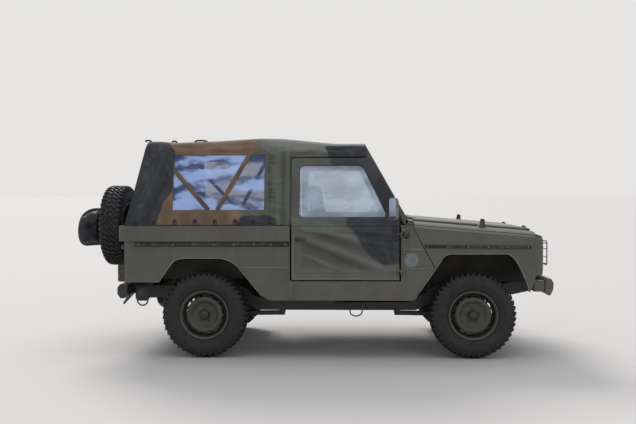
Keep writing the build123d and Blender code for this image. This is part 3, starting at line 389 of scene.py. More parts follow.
def round_axle(profile, sides, close=False):
    """Points and faces of an (outward, radius) profile turned round the wheel's axle."""
    outward, radius = np.asarray(profile, float).T
    cosine, sine = circle(sides)
    points = np.stack([np.outer(sine, radius), np.tile(outward, (sides, 1)), np.outer(cosine, radius)],
                      axis=-1)
    return points.reshape(-1, 3), grid_faces(sides, len(profile), True, close)


def tread_lugs(centre_line, widths, depths, shift, mirror):
    """Lugs round the tyre. Each follows a line over the carcass given as (outward, radius, round)
    and has at each station a half width and a depth; its section is a bevelled block."""
    line = flowing(centre_line, lug_stations)
    width, depth = (np.interp(np.linspace(0, 1, lug_stations), np.linspace(0, 1, len(row)), row)
                    for row in (widths, depths))
    across = np.array([-1.12, -1.0, -0.8, 0.8, 1.0, 1.12])
    up = np.array([-0.004, 0.78, 1.0, 1.0, 0.78, -0.004])
    run = np.gradient(line[:, :2], axis=0)
    normal = unit(np.stack([-run[:, 1], run[:, 0]], axis=1))
    normal *= np.sign(normal[:, 1:2] + 1e-9)
    rise = np.where(up < 0, up, up * depth[:, None])
    outward = line[:, :1] + rise * normal[:, :1]
    radius = line[:, 1:2] + rise * normal[:, 1:2]
    arc = (line[:, 2:] + across * width[:, None]) / tread_radius
    angle = (np.arange(lug_count) + shift)[:, None, None] / lug_count * 2 * np.pi + (arc * mirror)[None]
    points = np.stack([radius * np.sin(angle), np.broadcast_to(outward * mirror, angle.shape),
                       radius * np.cos(angle)], axis=-1)
    size, last = lug_stations * 6, (lug_stations - 1) * 6
    block = (grid_faces(lug_stations, 6).tolist() +
             [list(range(6)), [last + k for k in reversed(range(6))]])
    return points.reshape(-1, 3), [[size * lug + k for k in face] for lug in range(lug_count)
                                   for face in block]


half = flowing(tyre_side, 64)
slope = np.gradient(half, axis=0)
wall_ribs = ((0.24, 0.004, 0.0022), (0.249, 0.0015, 0.001), (0.305, 0.002, 0.0012),
             (0.296, 0.0014, 0.0008), (0.33, 0.003, 0.0015))  # radius, width, height
ribs = sum(size * np.exp(-(((half[:, 1] - radius) / width) ** 2)) for radius, width, size in wall_ribs)
half = half + unit(np.stack([slope[:, 1], -slope[:, 0]], axis=1)) * ribs[:, None]
tread = [round_axle(np.concatenate([half, half[-2::-1] * [-1, 1]]), 96)]
wall_count = len(tread[0][1])
shoulder_long = (
    [(0.05, 0.3655, 0.0), (0.078, 0.362, 0.001), (0.0935, 0.35, 0.002), (0.1015, 0.328, 0.003)],
    (0.01, 0.0125, 0.012, 0.0085), (0.018, 0.017, 0.009, 0.0035))
shoulder_short = (
    [(0.06, 0.365, 0.0), (0.08, 0.3615, 0.0), (0.093, 0.351, 0.0), (0.099, 0.338, 0.0)],
    (0.011, 0.012, 0.0105, 0.008), (0.0175, 0.0165, 0.0085, 0.004))
centre_long = (
    [(0.004, 0.3672, -0.01), (0.018, 0.3668, -0.004), (0.032, 0.366, 0.012), (0.044, 0.3655, 0.016)],
    (0.0105, 0.012, 0.011, 0.012), (0.0165, 0.017, 0.0172, 0.017))
centre_next = (np.array(centre_long[0]) + [0.003, 0.0, 0.004], *centre_long[1:])
for mirror, phase in ((1, 0.0), (-1, 0.5)):
    for lug, shift in ((shoulder_long, phase / 2), (shoulder_short, 0.5 + phase / 2),
                       (centre_long, 0.25 + phase), (centre_next, 0.75 + phase)):
        tread.append(tread_lugs(*lug, shift, mirror))
mix = Finish("tyre_rubber", roughness=0.82)
dusty = mix.step(mix.mottle(22.0, 6.0), 0.38, 0.72, 0.05, 0.38)
mix.relief((mix.mottle(700.0, 2.0), 0.0004))
tyre_rubber = mix.painted(mix.mixed(dusty, (0.0075, 0.0085, 0.011), (0.042, 0.04, 0.038)),
                          mix.step(dusty, 0.0, 0.4, 0.62, 0.92))
for wheel, body in wheel_bodies.items():
    tyre = gathered(f"mud_tyre_{wheel}", on_wheel(tread, wheel))
    tyre.data.polygons.foreach_set("use_smooth", np.arange(len(tyre.data.polygons)) < wall_count)
    clothed(tyre, tyre_rubber, body, "tyre_rubber", f"tyre_{wheel}")

# Rims: pressed steel discs welded into the rim's well, painted with the car. A ring of slots
# runs round each disc, five bolts hold it, and the front and rear hubs end in a black cap.
slot_count, slot_steps = 16, 8
bolt_count, bolt_circle, disc_face = 5, 0.065, 0.052
well_profile = [
    (-0.0825, 0.2215), (-0.085, 0.218), (-0.081, 0.208), (-0.074, 0.2045), (-0.056, 0.203),
    (-0.044, 0.195), (-0.035, 0.188), (0.012, 0.188), (0.022, 0.195), (0.04, 0.2), (0.072, 0.203),
    (0.078, 0.2055), (0.082, 0.214), (0.085, 0.2205), (0.088, 0.221), (0.0885, 0.217), (0.085, 0.206),
    (0.08, 0.1995), (0.07, 0.1975), (0.04, 0.195), (0.026, 0.189), (0.014, 0.183), (-0.035, 0.183),
    (-0.048, 0.19), (-0.06, 0.1985), (-0.078, 0.2), (-0.085, 0.206), (-0.0885, 0.217), (-0.087, 0.221)]
disc_line = flowing([(0.02, 0.186), (0.028, 0.1835), (0.04, 0.178), (0.056, 0.17),
                     (0.07, 0.16), (0.0775, 0.148), (0.0785, 0.136), (0.074, 0.125),
                     (0.064, 0.113), (0.055, 0.102), (0.0525, 0.088), (0.052, 0.07),
                     (0.052, 0.05), (0.052, 0.03)], 40)
cap_profile = [
    (0.0525, 0.0445), (0.06, 0.0445), (0.062, 0.042), (0.084, 0.04), (0.09, 0.036), (0.093, 0.026),
    (0.0945, 0.012), (0.095, 0.0005)]
drum_profile = [
    (0.05, 0.03), (0.05, 0.129), (0.044, 0.131), (-0.02, 0.131), (-0.024, 0.129), (-0.024, 0.03)]
disc_points, disc_faces = round_axle(disc_line, slot_count * slot_steps)
row, column = np.divmod(np.arange(len(disc_faces)), len(disc_line) - 1)
open_slot = np.isin(row % slot_steps, (2, 3, 4, 5)) & (column >= 5) & (column <= 10)
open_slot |= np.isin(row % slot_steps, (1, 6)) & (column >= 7) & (column <= 9)


def bolt_heads(across_flats, depth):
    """Six-sided bolt heads with a bevelled crown, set round the wheel's face."""
    rise, share = np.array([(0.0, 1.0), (depth * 0.75, 1.0), (depth, 0.82), (depth, 0.0)]).T
    reach = share * across_flats / 2 / np.cos(np.pi / 6)
    cosine, sine = circle(6)
    made = []
    for x, z in zip(*circle(bolt_count)[::-1]):
        points = np.stack([np.outer(sine, reach) + bolt_circle * x, np.tile(rise + disc_face, (6, 1)),
                           np.outer(cosine, reach) + bolt_circle * z], axis=-1)
        made.append((points.reshape(-1, 3), grid_faces(6, 4, True)))
    return made


def thickened(piece, thickness, offset=0.0):
    """Give a sheet its thickness: to both sides, or with an offset of -1 to the inside."""
    shell = piece.modifiers.new("thickness", "SOLIDIFY")
    shell.thickness, shell.offset = thickness, offset
    return piece


rim_paint = mottled("rim_paint", (0.046, 0.046, 0.036), (0.08, 0.077, 0.063), (30.0, 6.0, 0.45, 0.7),
                    (300.0, 3.0, 0.0004), rough=(0.5, 0.8))
hub_black = mottled("hub_black", (0.014, 0.014, 0.015), (0.045, 0.042, 0.037), (60.0, 5.0, 0.4, 0.7),
                    (400.0, 3.0, 0.0004), rough=0.5)
for wheel, body in wheel_bodies.items():
    (disc, faces), = on_wheel([(disc_points, disc_faces[~open_slot])], wheel)
    clothed(thickened(mesh_piece(f"rim_disc_{wheel}", disc, faces), 0.0045, -1.0), rim_paint, body,
            "rim_paint", f"rim_{wheel}")
    well = on_wheel([round_axle(well_profile, 96, close=True)], wheel)
    dress(f"rim_well_{wheel}", well, rim_paint, "rim_paint", body=body)
    bolts = on_wheel(bolt_heads(0.019, 0.015) + bolt_heads(0.03, 0.004), wheel)
    dress(f"wheel_bolts_{wheel}", bolts, rim_paint, "rim_paint", body=body, smooth=False)
    hub = [round_axle(cap_profile, 36)] + ([] if wheel == "spare" else [round_axle(drum_profile, 60)])
    dress(f"hub_{wheel}", on_wheel(hub, wheel), hub_black, "black_paint", body=body)

# Body: pressed steel sides, fenders, hood, nose and tailgate, welded and painted one matt
# olive-grey. The paint has faded in patches, rain has streaked it and dust lies low on it. A folded
# lip stiffens each wheel arch, and a bead is pressed into the sides at mid height.
body_side = 0.85
lip_ring = [
    (-0.0035, -0.03), (0.0035, -0.03), (0.0035, 0.0), (0.006, 0.004), (0.004, 0.0075), (-0.0005, 0.0085),
    (-0.0035, 0.006)]
rear_arch = [(-0.402, 0.683), (-0.262, 0.878), (-0.185, 0.9), (0.182, 0.9), (0.289, 0.851),
             (0.52, 0.566)]
front_arch = [
    (1.879, 0.54), (2.06, 0.803), (2.133, 0.915), (2.171, 0.936), (2.684, 0.938), (2.728, 0.918),
    (2.773, 0.864), (2.85, 0.704), (2.88, 0.604)]
pressed_beads = [(0.33, 0.772, 0.816), (1.762, 2.044, 0.806), (1.762, 1.952, 0.977)]  # x, to x, height
sill_joint_x, sill_joint_ends = 0.782, (0.702, 0.574)


def box_part(x0, x1, y0, y1, z0, z1):
    """Points and faces of a block between two corners, lengthwise from the rear axle."""
    points = [(x, y, z) for x in sorted((x0, x1)) for y in sorted((y0, y1)) for z in sorted((z0, z1))]
    return from_axle(points), [[0, 1, 3, 2], [4, 6, 7, 5], [0, 4, 5, 1], [2, 3, 7, 6], [0, 2, 6, 4],
                               [1, 5, 7, 3]]


def softened(piece, width, segments=2):
    """Round a piece's sharp edges."""
    bevel = piece.modifiers.new("rounding", "BEVEL")
    bevel.width, bevel.segments, bevel.limit_method = width, segments, "ANGLE"
    return piece


def rounded_line(points, radius, steps=8, close=False):
    """A line of straight runs whose corners are eased by a curve: each point on it is
    (1 - t)^2 before + 2 t (1 - t) corner + t^2 after, where before and after lie radius away."""
    points = np.asarray(points, float)
    count = len(points)
    made = [] if close else [points[0]]
    t = np.linspace(0, 1, steps)[:, None]
    for k in range(count) if close else range(1, count - 1):
        corner = points[k]
        before, after = points[k - 1] - corner, points[(k + 1) % count] - corner
        reach = min(radius, 0.49 * np.linalg.norm(before), 0.49 * np.linalg.norm(after))
        made.extend((1 - t) ** 2 * (corner + unit(before) * reach) + 2 * t * (1 - t) * corner
                    + t**2 * (corner + unit(after) * reach))
    return np.asarray(made if close else [*made, points[-1]])


mix = Finish("army_paint")
faded = mix.step(mix.mottle(1.6, 5.0), 0.38, 0.66)
streak = mix.step(mix.mottle(1.0, 5.0, mix.stretched((17.0, 17.0, 1.3))), 0.48, 0.74, 0.0, 0.35)
dust = mix.sum(mix.step(mix.height(), 0.92, 0.5, 0.06, 0.62),
               mix.step(mix.mottle(6.0, 7.0), 0.36, 0.68), "MULTIPLY")
shade = mix.mixed(faded, (0.073, 0.071, 0.055), (0.092, 0.09, 0.073))
shade = mix.mixed(streak, shade, (0.118, 0.114, 0.095))
shade = mix.mixed(dust, shade, (0.135, 0.12, 0.092))
mix.relief((mix.mottle(2.6, 2.0), 0.0025), (mix.mottle(420.0, 2.0), 0.00025), edge=0.004)
army_paint = mix.painted(shade, mix.step(mix.sum(streak, dust), 0.0, 0.9, 0.36, 0.76))
wear(["body_side_left", "body_side_right", "fender_left", "fender_right", "scuttle", "front_panel",
      "hood", "tailgate", "windscreen_frame", "top_bows", "front_bumper"], army_paint)
wear(["rear_bumper", "cross_members"], chassis_black)
# The floor's underside and the inner fenders get a near-black that is painted shade, for the shade under
# the body and inside the wheel arches; its paler patches are dust.
arch_dust_and_shade = mottled("arch_dust_and_shade", (0.024, 0.023, 0.019), (0.056, 0.05, 0.039), (4.0, 6.0, 0.35, 0.7),
                    (180.0, 4.0, 0.0012), edge=0.005, rough=0.85)
wear(["floor_pan", "inner_fenders"], arch_dust_and_shade)
# The arch lips, the pressed beads and the sill joint are painted paler: partly wear, and partly a painted
# highlight on these raised edges, which catch the light.
mix = Finish("lit_and_worn_edge")
worn = mix.mottle(14.0, 6.0)
mix.relief((mix.mottle(420.0, 2.0), 0.00025))
lit_and_worn_edge = mix.painted(mix.mixed(mix.step(worn, 0.35, 0.68), (0.145, 0.142, 0.12),
                                  (0.225, 0.22, 0.192)), mix.step(worn, 0.35, 0.68, 0.4, 0.6))
parts = [tube([(sill_joint_x, body_side - 0.0012, z) for z in sill_joint_ends], 0.003, up=(1, 0, 0))]
for arch in (rear_arch, front_arch):
    path = rounded_line([(x, body_side, z) for x, z in arch], 0.055, 7)
    parts.append(swept(path, lip_ring, up=(0, 1, 0)))
for x0, x1, z in pressed_beads:
    parts.append(tube([(x0, body_side, z), (x1, body_side, z)], 0.0042))
dress("pressed_edges", both_sides(parts), lit_and_worn_edge, "army_paint")

# Shoulder seams: a dark bead lies along the joint between each fender's top and its side; it is painted
# shade, standing for the shadow in that gap.
# A blank pale disc is painted on the right side before the door.
seam_line = [(1.874, 0.8315, 1.1905), (2.2, 0.8315, 1.163), (2.6, 0.8315, 1.129),
             (2.93, 0.8315, 1.1005)]
disc_x, disc_z, disc_radius = 1.849, 0.884, 0.062
black_rubber = mottled("black_rubber", (0.02, 0.02, 0.023), (0.055, 0.053, 0.05),
                       (26.0, 6.0, 0.4, 0.7), (500.0, 2.0, 0.0003), rough=0.75)
# The dark bead is painted shade for the shadow in the fender's gap.
dress("shoulder_gap_shade", both_sides([tube(flowing(seam_line, 24), 0.0048)]), black_rubber, "rubber")
marking_white = mottled("marking_white", (0.175, 0.198, 0.212), (0.125, 0.138, 0.14),
                        (40.0, 6.0, 0.4, 0.72), (420.0, 2.0, 0.00025), rough=0.6)
cosine, sine = circle(48)
disc = np.stack([np.stack([disc_x + disc_radius * cosine, np.full(48, -body_side - rise),
                           disc_z + disc_radius * sine], axis=1) for rise in (-0.001, 0.0006)])
disc = mesh_piece("marking_disc", from_axle(disc),
                  grid_faces(2, 48, False, True).tolist() + [list(range(48, 96))], smooth=False)
clothed(disc, marking_white, "chassis", "army_paint")

# Rub strips: thick black rubber strips, bolted through along each belt and each fender. They are
# rounded outwards and cut off square, and the small bolt heads stand in them, bright with wear.
strip_ring = np.array([
    (0.002, -0.021), (-0.01, -0.021), (-0.0145, -0.017), (-0.016, -0.01), (-0.0165, 0.0), (-0.016, 0.01),
    (-0.0145, 0.017), (-0.01, 0.021), (0.002, 0.021)])
belt_strip = [(-0.612, body_side, 1.023), (0.769, body_side, 1.023)]
fender_strip = [(1.968, body_side, 1.004), (2.892, body_side, 0.994)]
belt_bolts = (-0.57, -0.435, -0.261, -0.079, 0.102, 0.28, 0.456, 0.612, 0.735)
fender_bolts = (1.985, 2.162, 2.344, 2.519, 2.684, 2.862)
strip_bolt = [(0.0075, -0.004), (0.0075, 0.002), (0.0055, 0.0042), (0.0, 0.0046)]
outward_left = ((1, 0, 0), (0, 0, 1), (0, 1, 0))  # axes of a turned piece that faces the left
worn_zinc = mottled("worn_zinc", (0.21, 0.21, 0.2), (0.09, 0.085, 0.08), (90.0, 5.0, 0.4, 0.7),
                    (400.0, 2.0, 0.0002), rough=0.42, metallic=0.85)
strips = [swept(belt_strip, strip_ring), swept(fender_strip, strip_ring * [1, 0.7])]
heads = [turned(strip_bolt, 10, (x, body_side + 0.016, line[0][2] - fall * (x - line[0][0])), outward_left)
         for line, bolts, fall in ((belt_strip, belt_bolts, 0.0), (fender_strip, fender_bolts, 0.0108))
         for x in bolts]
dress("rubber_rub_strips", both_sides(strips), black_rubber, "rubber", "rub_strips")
dress("strip_bolts", both_sides(heads), worn_zinc, "steel")

# Lashing points: a forged ring hangs in a plate under each rear corner, and a small steel hoop is
# bolted under each sill for the jack. They are dipped black and scraped bright inside.
ring_x, ring_y, ring_z, ring_radius = -0.569, 0.751, 0.512, 0.047
ring_plate = [
    (-0.633, 0.686), (-0.633, 0.53), (-0.618, 0.51), (-0.6, 0.507), (-0.538, 0.507), (-0.52, 0.51),
    (-0.505, 0.53), (-0.505, 0.686)]
jack_hoop = [
    (1.306, 0.5), (1.306, 0.425), (1.318, 0.392), (1.361, 0.376), (1.404, 0.392), (1.416, 0.425),
    (1.416, 0.5)]
cosine, sine = circle(36)
parts = [tube(np.stack([ring_x + ring_radius * cosine, np.full(36, ring_y), ring_z + ring_radius * sine],
                       axis=1), 0.007, 10, up=(0, 1, 0), close=True),
         plate_part(ring_plate, ring_y - 0.005, ring_y + 0.005),
         tube(flowing([(x, 0.775, z) for x, z in jack_hoop], 40), 0.006, up=(0, 1, 0)),
         box_part(1.17, 1.88, 0.7, 0.79, 0.488, 0.504)]
dress("lashing_points", both_sides(parts), chassis_black, "black_paint", "tie_downs")

# Rear lamps and fender indicators: black moulded housings with glossy lenses. The rear pair face
# backwards under the belt's corners, and each fender carries a tall wedge with an amber lens.
hood_z, hood_x, hood_slope = 1.219, 1.881, 0.0852
black_moulding = mottled("black_moulding", (0.018, 0.018, 0.02), (0.05, 0.048, 0.045),
                         (30.0, 5.0, 0.4, 0.7), (600.0, 2.0, 0.0002), edge=0.003, rough=0.48)


def hood_height(x):
    """Height of the hood's and fenders' top, which falls towards the nose."""
    return hood_z - (x - hood_x) * hood_slope


def lens_finish(name, tint):
    """Coloured plastic with fine moulded bands."""
    mix = Finish(name, roughness=0.16)
    mix.relief((mix.bands(60.0, "Z"), 0.0008))
    return mix.painted(mix.mixed(mix.step(mix.mottle(30.0), 0.4, 0.7), tint,
                                 tuple(0.6 * c + 0.02 for c in tint)))


foot = hood_height(2.48)
stem, faces = plate_part([(2.438, foot - 0.003), (2.523, foot - 0.008), (2.508, foot + 0.034),
                          (2.503, foot + 0.072), (2.477, foot + 0.076), (2.466, foot + 0.034)],
                         -0.03, 0.03)
stem[:, 1] = 0.72 + stem[:, 1] * ([1.0, 1.0, 0.72, 0.72, 0.72, 0.72] * 2)
for name, material, slot, ease, parts in (
        ("lamp_housings", black_moulding, "dark_plastic", 0.005,
         [box_part(-0.764, -0.705, 0.753, 0.837, 0.688, 0.841), (stem, faces)]),
        ("red_lenses", lens_finish("red_lens", (0.3, 0.012, 0.01)), "signal_lens", 0.003,
         [box_part(-0.771, -0.762, 0.76, 0.83, 0.742, 0.835)]),
        ("amber_lenses", lens_finish("amber_lens", (0.42, 0.1, 0.012)), "signal_lens", 0.002,
         [box_part(-0.771, -0.762, 0.76, 0.83, 0.694, 0.738),
          box_part(2.5045, 2.5095, 0.704, 0.736, foot + 0.036, foot + 0.066)])):
    nodes = ["signal_lamps"] if name == "lamp_housings" else []
    softened(dress(name, both_sides(parts), material, slot, *nodes, smooth=False), ease)

# Nose: black pressed louvres stand in the opening between the headlamps, and a welded wire guard
# is bolted before each lamp. The louvres are folded from sheet with rolled front edges.
nose_front, opening_half = 3.006, 0.392
louvre_count, louvre_foot, louvre_pitch = 9, 0.8135, 0.0255
post_places, post_foot, post_head = (-0.196, 0.0, 0.196), 0.801, 1.029
louvre_ring = [
    (0.0, -0.01), (0.0045, -0.0085), (0.0065, -0.004), (0.006, 0.002), (-0.0015, 0.009), (-0.01, 0.0095),
    (-0.01, 0.008), (-0.0028, 0.0072), (0.0035, 0.0008), (0.004, -0.0038), (0.0025, -0.0066),
    (0.0, -0.008)]
lamp_y, lamp_z = 0.6, 0.93
guard_x, guard_half, guard_low, guard_top = 3.066, 0.101, -0.103, 0.11
guard_uprights, guard_levels, guard_legs = (-0.05, 0.0, 0.05), (-0.034, 0.04), (-0.088, 0.095)
parts = [swept([(nose_front - 0.012, y, louvre_foot + k * louvre_pitch)
                for y in (-opening_half, opening_half)], louvre_ring) for k in range(louvre_count)]
for y in post_places:
    parts.append(box_part(nose_front - 0.03, nose_front - 0.02, y - 0.005, y + 0.005,
                          post_foot, post_head))
parts += both_sides([box_part(nose_front - 0.034, nose_front - 0.002, 0.378, 0.399,
                              post_foot - 0.001, post_head + 0.001)])
softened(dress("louvres", parts, black_moulding, "black_paint", "grille", smooth=False), 0.0015, 1)


def guard_wire(points, radius, steps=0, **how):
    """A wire of the guard through points (x, y, z), where y and z start at the lamp's middle."""
    points = np.asarray(points, float) + [0.0, lamp_y, lamp_z]
    return tube(flowing(points, steps) if steps else points, radius, **how)


frame_line = rounded_line([(guard_x, -guard_half, guard_low), (guard_x, guard_half, guard_low),
                           (guard_x, guard_half, guard_top), (guard_x, -guard_half, guard_top)],
                          0.022, 6, close=True)
parts = [guard_wire(frame_line, 0.005, up=(1, 0, 0), close=True)]
for y in guard_uprights:
    parts.append(guard_wire([(guard_x, y, guard_low), (guard_x + 0.003, y, 0.003),
                             (guard_x, y, guard_top)], 0.0035))
for z in guard_levels:
    parts.append(guard_wire([(guard_x - 0.002, -guard_half, z), (guard_x - 0.002, guard_half, z)],
                            0.0035))
for y in (-guard_half, guard_half):
    for z in guard_legs:
        parts.append(guard_wire([(guard_x, y, z), (3.03, y, z), (3.004, y * 1.02, z)], 0.0045, 8,
                                up=(0, 1, 0)))
dress("lamp_guards", both_sides(parts), black_moulding, "black_paint")

# Headlamps: a silvered bowl behind a bulging, fluted glass, held by a painted steel ring. The bulb
# shows as a small bright cap in the middle of the bowl.
ring_profile = [
    (0.0975, -0.07), (0.0975, -0.004), (0.095, 0.004), (0.0885, 0.007), (0.086, 0.003), (0.086, -0.012)]
bulb_profile = [(0.0, -0.066), (0.014, -0.066), (0.014, -0.034), (0.0135, -0.032), (0.0, -0.03)]
bowl_profile = [(0.015, -0.065), (0.04, -0.059), (0.066, -0.045), (0.086, -0.021), (0.0868, -0.016)]
glass_profile = [
    (0.0, 0.02), (0.03, 0.0185), (0.056, 0.014), (0.074, 0.0075), (0.0862, -0.001), (0.0862, -0.006),
    (0.072, 0.0025), (0.05, 0.0095), (0.0, 0.016)]
forward = ((0, 1, 0), (0, 0, 1), (1, 0, 0))  # axes of a turned piece that faces forward
silvered_bowl = mottled("silvered_bowl", (0.62, 0.63, 0.64), (0.45, 0.45, 0.44), (20.0, 4.0, 0.4, 0.7),
                        (30.0, 2.0, 0.0006), rough=0.16, metallic=1.0)
mix = Finish("lamp_glass", roughness=0.06, more={"Transmission Weight": 0.92, "IOR": 1.25})
mix.relief((mix.bands(26.0, "Y"), 0.0012))
lamp_glass = mix.painted((0.86, 0.88, 0.86))
for name, material, slot, profiles in (("lamp_rings", army_paint, "army_paint", [ring_profile]),
                                       ("lamp_bowls", silvered_bowl, "lamp_lens",
                                        [bulb_profile, bowl_profile]),
                                       ("lamp_glasses", lamp_glass, "lamp_lens", [glass_profile])):
    lamps = both_sides([turned(profile, 48, (nose_front, lamp_y, lamp_z), forward)
                        for profile in profiles])
    dress(name, lamps, material, slot, *(["headlamps"] if name == "lamp_bowls" else []))

# Front bumper fittings: a pressed end piece closes each end of the folded beam, and a
# galvanised shackle with its screw pin hangs through each towing lug.
beam_end = np.array([
    (3.029, 0.59), (3.029, 0.7), (3.05, 0.716), (3.084, 0.712), (3.103, 0.672), (3.098, 0.612),
    (3.072, 0.564), (3.042, 0.574)])
shackle_x, shackle_y, shackle_z = 3.066, 0.365, 0.748
bow_line = [
    (0.0, -0.026, 0.0), (-0.003, -0.032, 0.024), (-0.007, -0.024, 0.036), (-0.01, 0.0, 0.0395),
    (-0.007, 0.024, 0.036), (-0.003, 0.032, 0.024), (0.0, 0.026, 0.0)]
eye_profile = [(0.0, -0.0085), (0.017, -0.0085), (0.0185, -0.006), (0.0185, 0.006), (0.017, 0.0085),
               (0.0, 0.0085)]
pin_profile = [(0.0, -0.04), (0.01, -0.04), (0.01, 0.034), (0.0135, 0.034), (0.0135, 0.044),
               (0.0, 0.046)]
middle = beam_end.mean(axis=0)
cap = [np.insert(middle + (beam_end - middle) * size, 1, y, axis=1)
       for size, y in ((1.0, 0.789), (1.0, 0.797), (0.9, 0.801))]
faces = grid_faces(3, 8, False, True).tolist() + [list(range(16, 24)), list(range(8))]
caps = both_sides([(from_axle(np.concatenate(cap)), faces)])
softened(dress("bumper_ends", caps, army_paint, "army_paint", smooth=False), 0.004)
shackle_place = np.array([shackle_x, shackle_y, shackle_z])
shackles = [tube(flowing(bow_line + shackle_place, 28), 0.0085, 10, up=(1, 0, 0)),
            turned(pin_profile, 14, shackle_place, outward_left)]
for y in (-0.026, 0.026):
    shackles.append(turned(eye_profile, 16, shackle_place + [0.0, y, 0.0], outward_left))
dress("towing_shackles", both_sides(shackles), worn_zinc, "steel")

# Hood fittings: two black rubber catches, riveted to the hood, pull it down onto the nose. The
# hood's front edge is turned down behind them.
catch_y, catch_z = 0.45, hood_height(2.9)
pull_line = [(2.902, catch_y, catch_z + 0.029), (2.926, catch_y, catch_z + 0.026),
             (2.934, catch_y, catch_z + 0.007)]
catches = [box_part(2.896, 2.921, catch_y - 0.018, catch_y + 0.018, catch_z + 0.021, catch_z + 0.0285),
           swept(rounded_line(pull_line, 0.01, 6), bar_ring(0.011, 0.003), up=(0, 1, 0))]
softened(dress("hood_catches", both_sides(catches), black_rubber, "rubber", body="hood", smooth=False),
         0.002)
lip = [box_part(2.9245, 2.929, -0.64, 0.64, 1.106, 1.1495)]
softened(dress("hood_lip", lip, army_paint, "army_paint", body="hood", smooth=False), 0.0015)

# Windscreen: laminated glass in a rubber channel, with two wiper arms parked along its foot. The
# glass is clean in two swept arcs and filmed with dust elsewhere.
screen_lean = np.radians(29)
screen_up = np.array([-np.sin(screen_lean), 0.0, np.cos(screen_lean)])
screen_out = np.array([np.cos(screen_lean), 0.0, np.sin(screen_lean)])
screen_foot = np.array([1.848, 0.0, 1.19])
pane_height, pane_foot_half, pane_narrowing = 0.817, 0.75, 0.146
pane_corners = ((-1, 0.088), (1, 0.088), (1, 0.739), (-1, 0.739))
wipers = ((-0.02, -0.52), (0.6, -0.5))  # where the pivot is across the car, and how far the arm reaches
channel_ring = [(-0.01, -0.004), (0.01, -0.004), (0.01, 0.003), (0.004, 0.006), (-0.01, 0.003)]
arm_section = [(-0.006, -0.002), (0.006, -0.002), (0.004, 0.003), (-0.004, 0.003)]
blade_section = [(-0.004, -0.006), (0.004, -0.006), (0.005, 0.004), (-0.005, 0.004)]


def on_screen(y, v, out):
    """A point on the windscreen: y across, v up its plane and out from its face."""
    return screen_foot + np.array([0.0, y, 0.0]) + v * screen_up + out * screen_out


def pane_half(v):
    """Half width of the pane at a distance up its plane."""
    return pane_foot_half - pane_narrowing * v / pane_height


parts = []
for out in (-0.0165, -0.0255):
    corners = [on_screen(end * pane_half(v), v, out) for end, v in pane_corners]
    parts.append(swept(rounded_line(corners, 0.045, 8, close=True), channel_ring, up=screen_out,
                       close=True))
for pivot, reach in wipers:
    arm = [on_screen(pivot + share * reach, v, out)
           for share, v, out in ((0.0, 0.05, 0.012), (0.02, 0.095, 0.014), (0.55, 0.15, 0.004))]
    blade = [on_screen(pivot + share * reach, v, -0.01) for share, v in ((0.18, 0.118), (1.0, 0.185))]
    parts.append(swept(flowing(arm, 14), arm_section, up=screen_out))
    parts.append(swept(blade, blade_section, up=screen_out))
    parts.append(turned([(0.013, -0.02), (0.013, 0.006), (0.009, 0.014), (0.0, 0.015)], 14,
                        on_screen(pivot, 0.05, 0.002), ((0, 1, 0), screen_up, screen_out)))
dress("screen_rubbers", parts, black_rubber, "rubber")
mix = Finish("screen_glass", roughness=0.03, more={"Transmission Weight": 1.0, "IOR": 1.12})
film = mix.step(mix.mottle(5.0, 6.0), 0.42, 0.72, 0.02, 0.2)
screen_glass = mix.painted(mix.mixed(film, (0.88, 0.93, 0.91), (0.7, 0.72, 0.7)), film)
wear(["windscreen_glass"], screen_glass)

# Cab: two seats covered in worn black-green canvas over foam, on painted steel plinths, and a long
# bench of the same over each rear wheel box. The covers are pleated, and their middles have sagged.
seat_y, bench_y = 0.37, 0.44
bench_end, bench_leg_x = 0.55, 0.545
back_tube = [
    (1.095, -0.225, 0.86), (1.04, -0.225, 1.2), (0.962, -0.18, 1.53), (0.962, 0.18, 1.53),
    (1.04, 0.225, 1.2), (1.095, 0.225, 0.86)]
mix = Finish("seat_canvas", roughness=0.9, more={"Sheen Weight": 0.25})
shade = mix.mixed(mix.step(mix.mottle(11.0, 5.0), 0.4, 0.7), (0.03, 0.032, 0.026),
                  (0.068, 0.066, 0.054))
mix.relief((mix.mottle(900.0, 2.0), 0.0004), (mix.mottle(14.0, 3.0), 0.004))
seat_canvas = mix.painted(shade)


def pad_part(centre, half, lean=0.0, pleats=0, sag=0.0):
    """A stuffed pad: point = centre + half * sign(c) |c|^0.34 for c = (cos f cos a, cos f sin a, sin f),
    pleated by |sin| across its width, hollowed where it is sat on, and leant back by an angle."""
    a, f = np.meshgrid(np.linspace(0, 2 * np.pi, 73)[:-1], np.linspace(-np.pi / 2, np.pi / 2, 33),
                       indexing="ij")
    ball = np.stack([np.cos(f) * np.cos(a), np.cos(f) * np.sin(a), np.sin(f)], axis=-1)
    points = np.sign(ball) * np.abs(ball) ** 0.34
    crown = 1.0 - 0.1 * (1 - np.abs(np.sin(points[..., 1] * np.pi / 2 * max(pleats, 1)))) * (pleats > 0)
    hollow = sag * np.clip(1 - points[..., 0] ** 2, 0, 1) * np.clip(1 - points[..., 1] ** 2, 0, 1)
    x, y, z = np.moveaxis(points * np.asarray(half), -1, 0)
    z = np.where(z > 0, z * crown - hollow, z)
    points = np.stack([x * np.cos(lean) - z * np.sin(lean), y, x * np.sin(lean) + z * np.cos(lean)],
                      axis=-1)
    return (points + from_axle(centre)).reshape(-1, 3), grid_faces(72, 33, True)


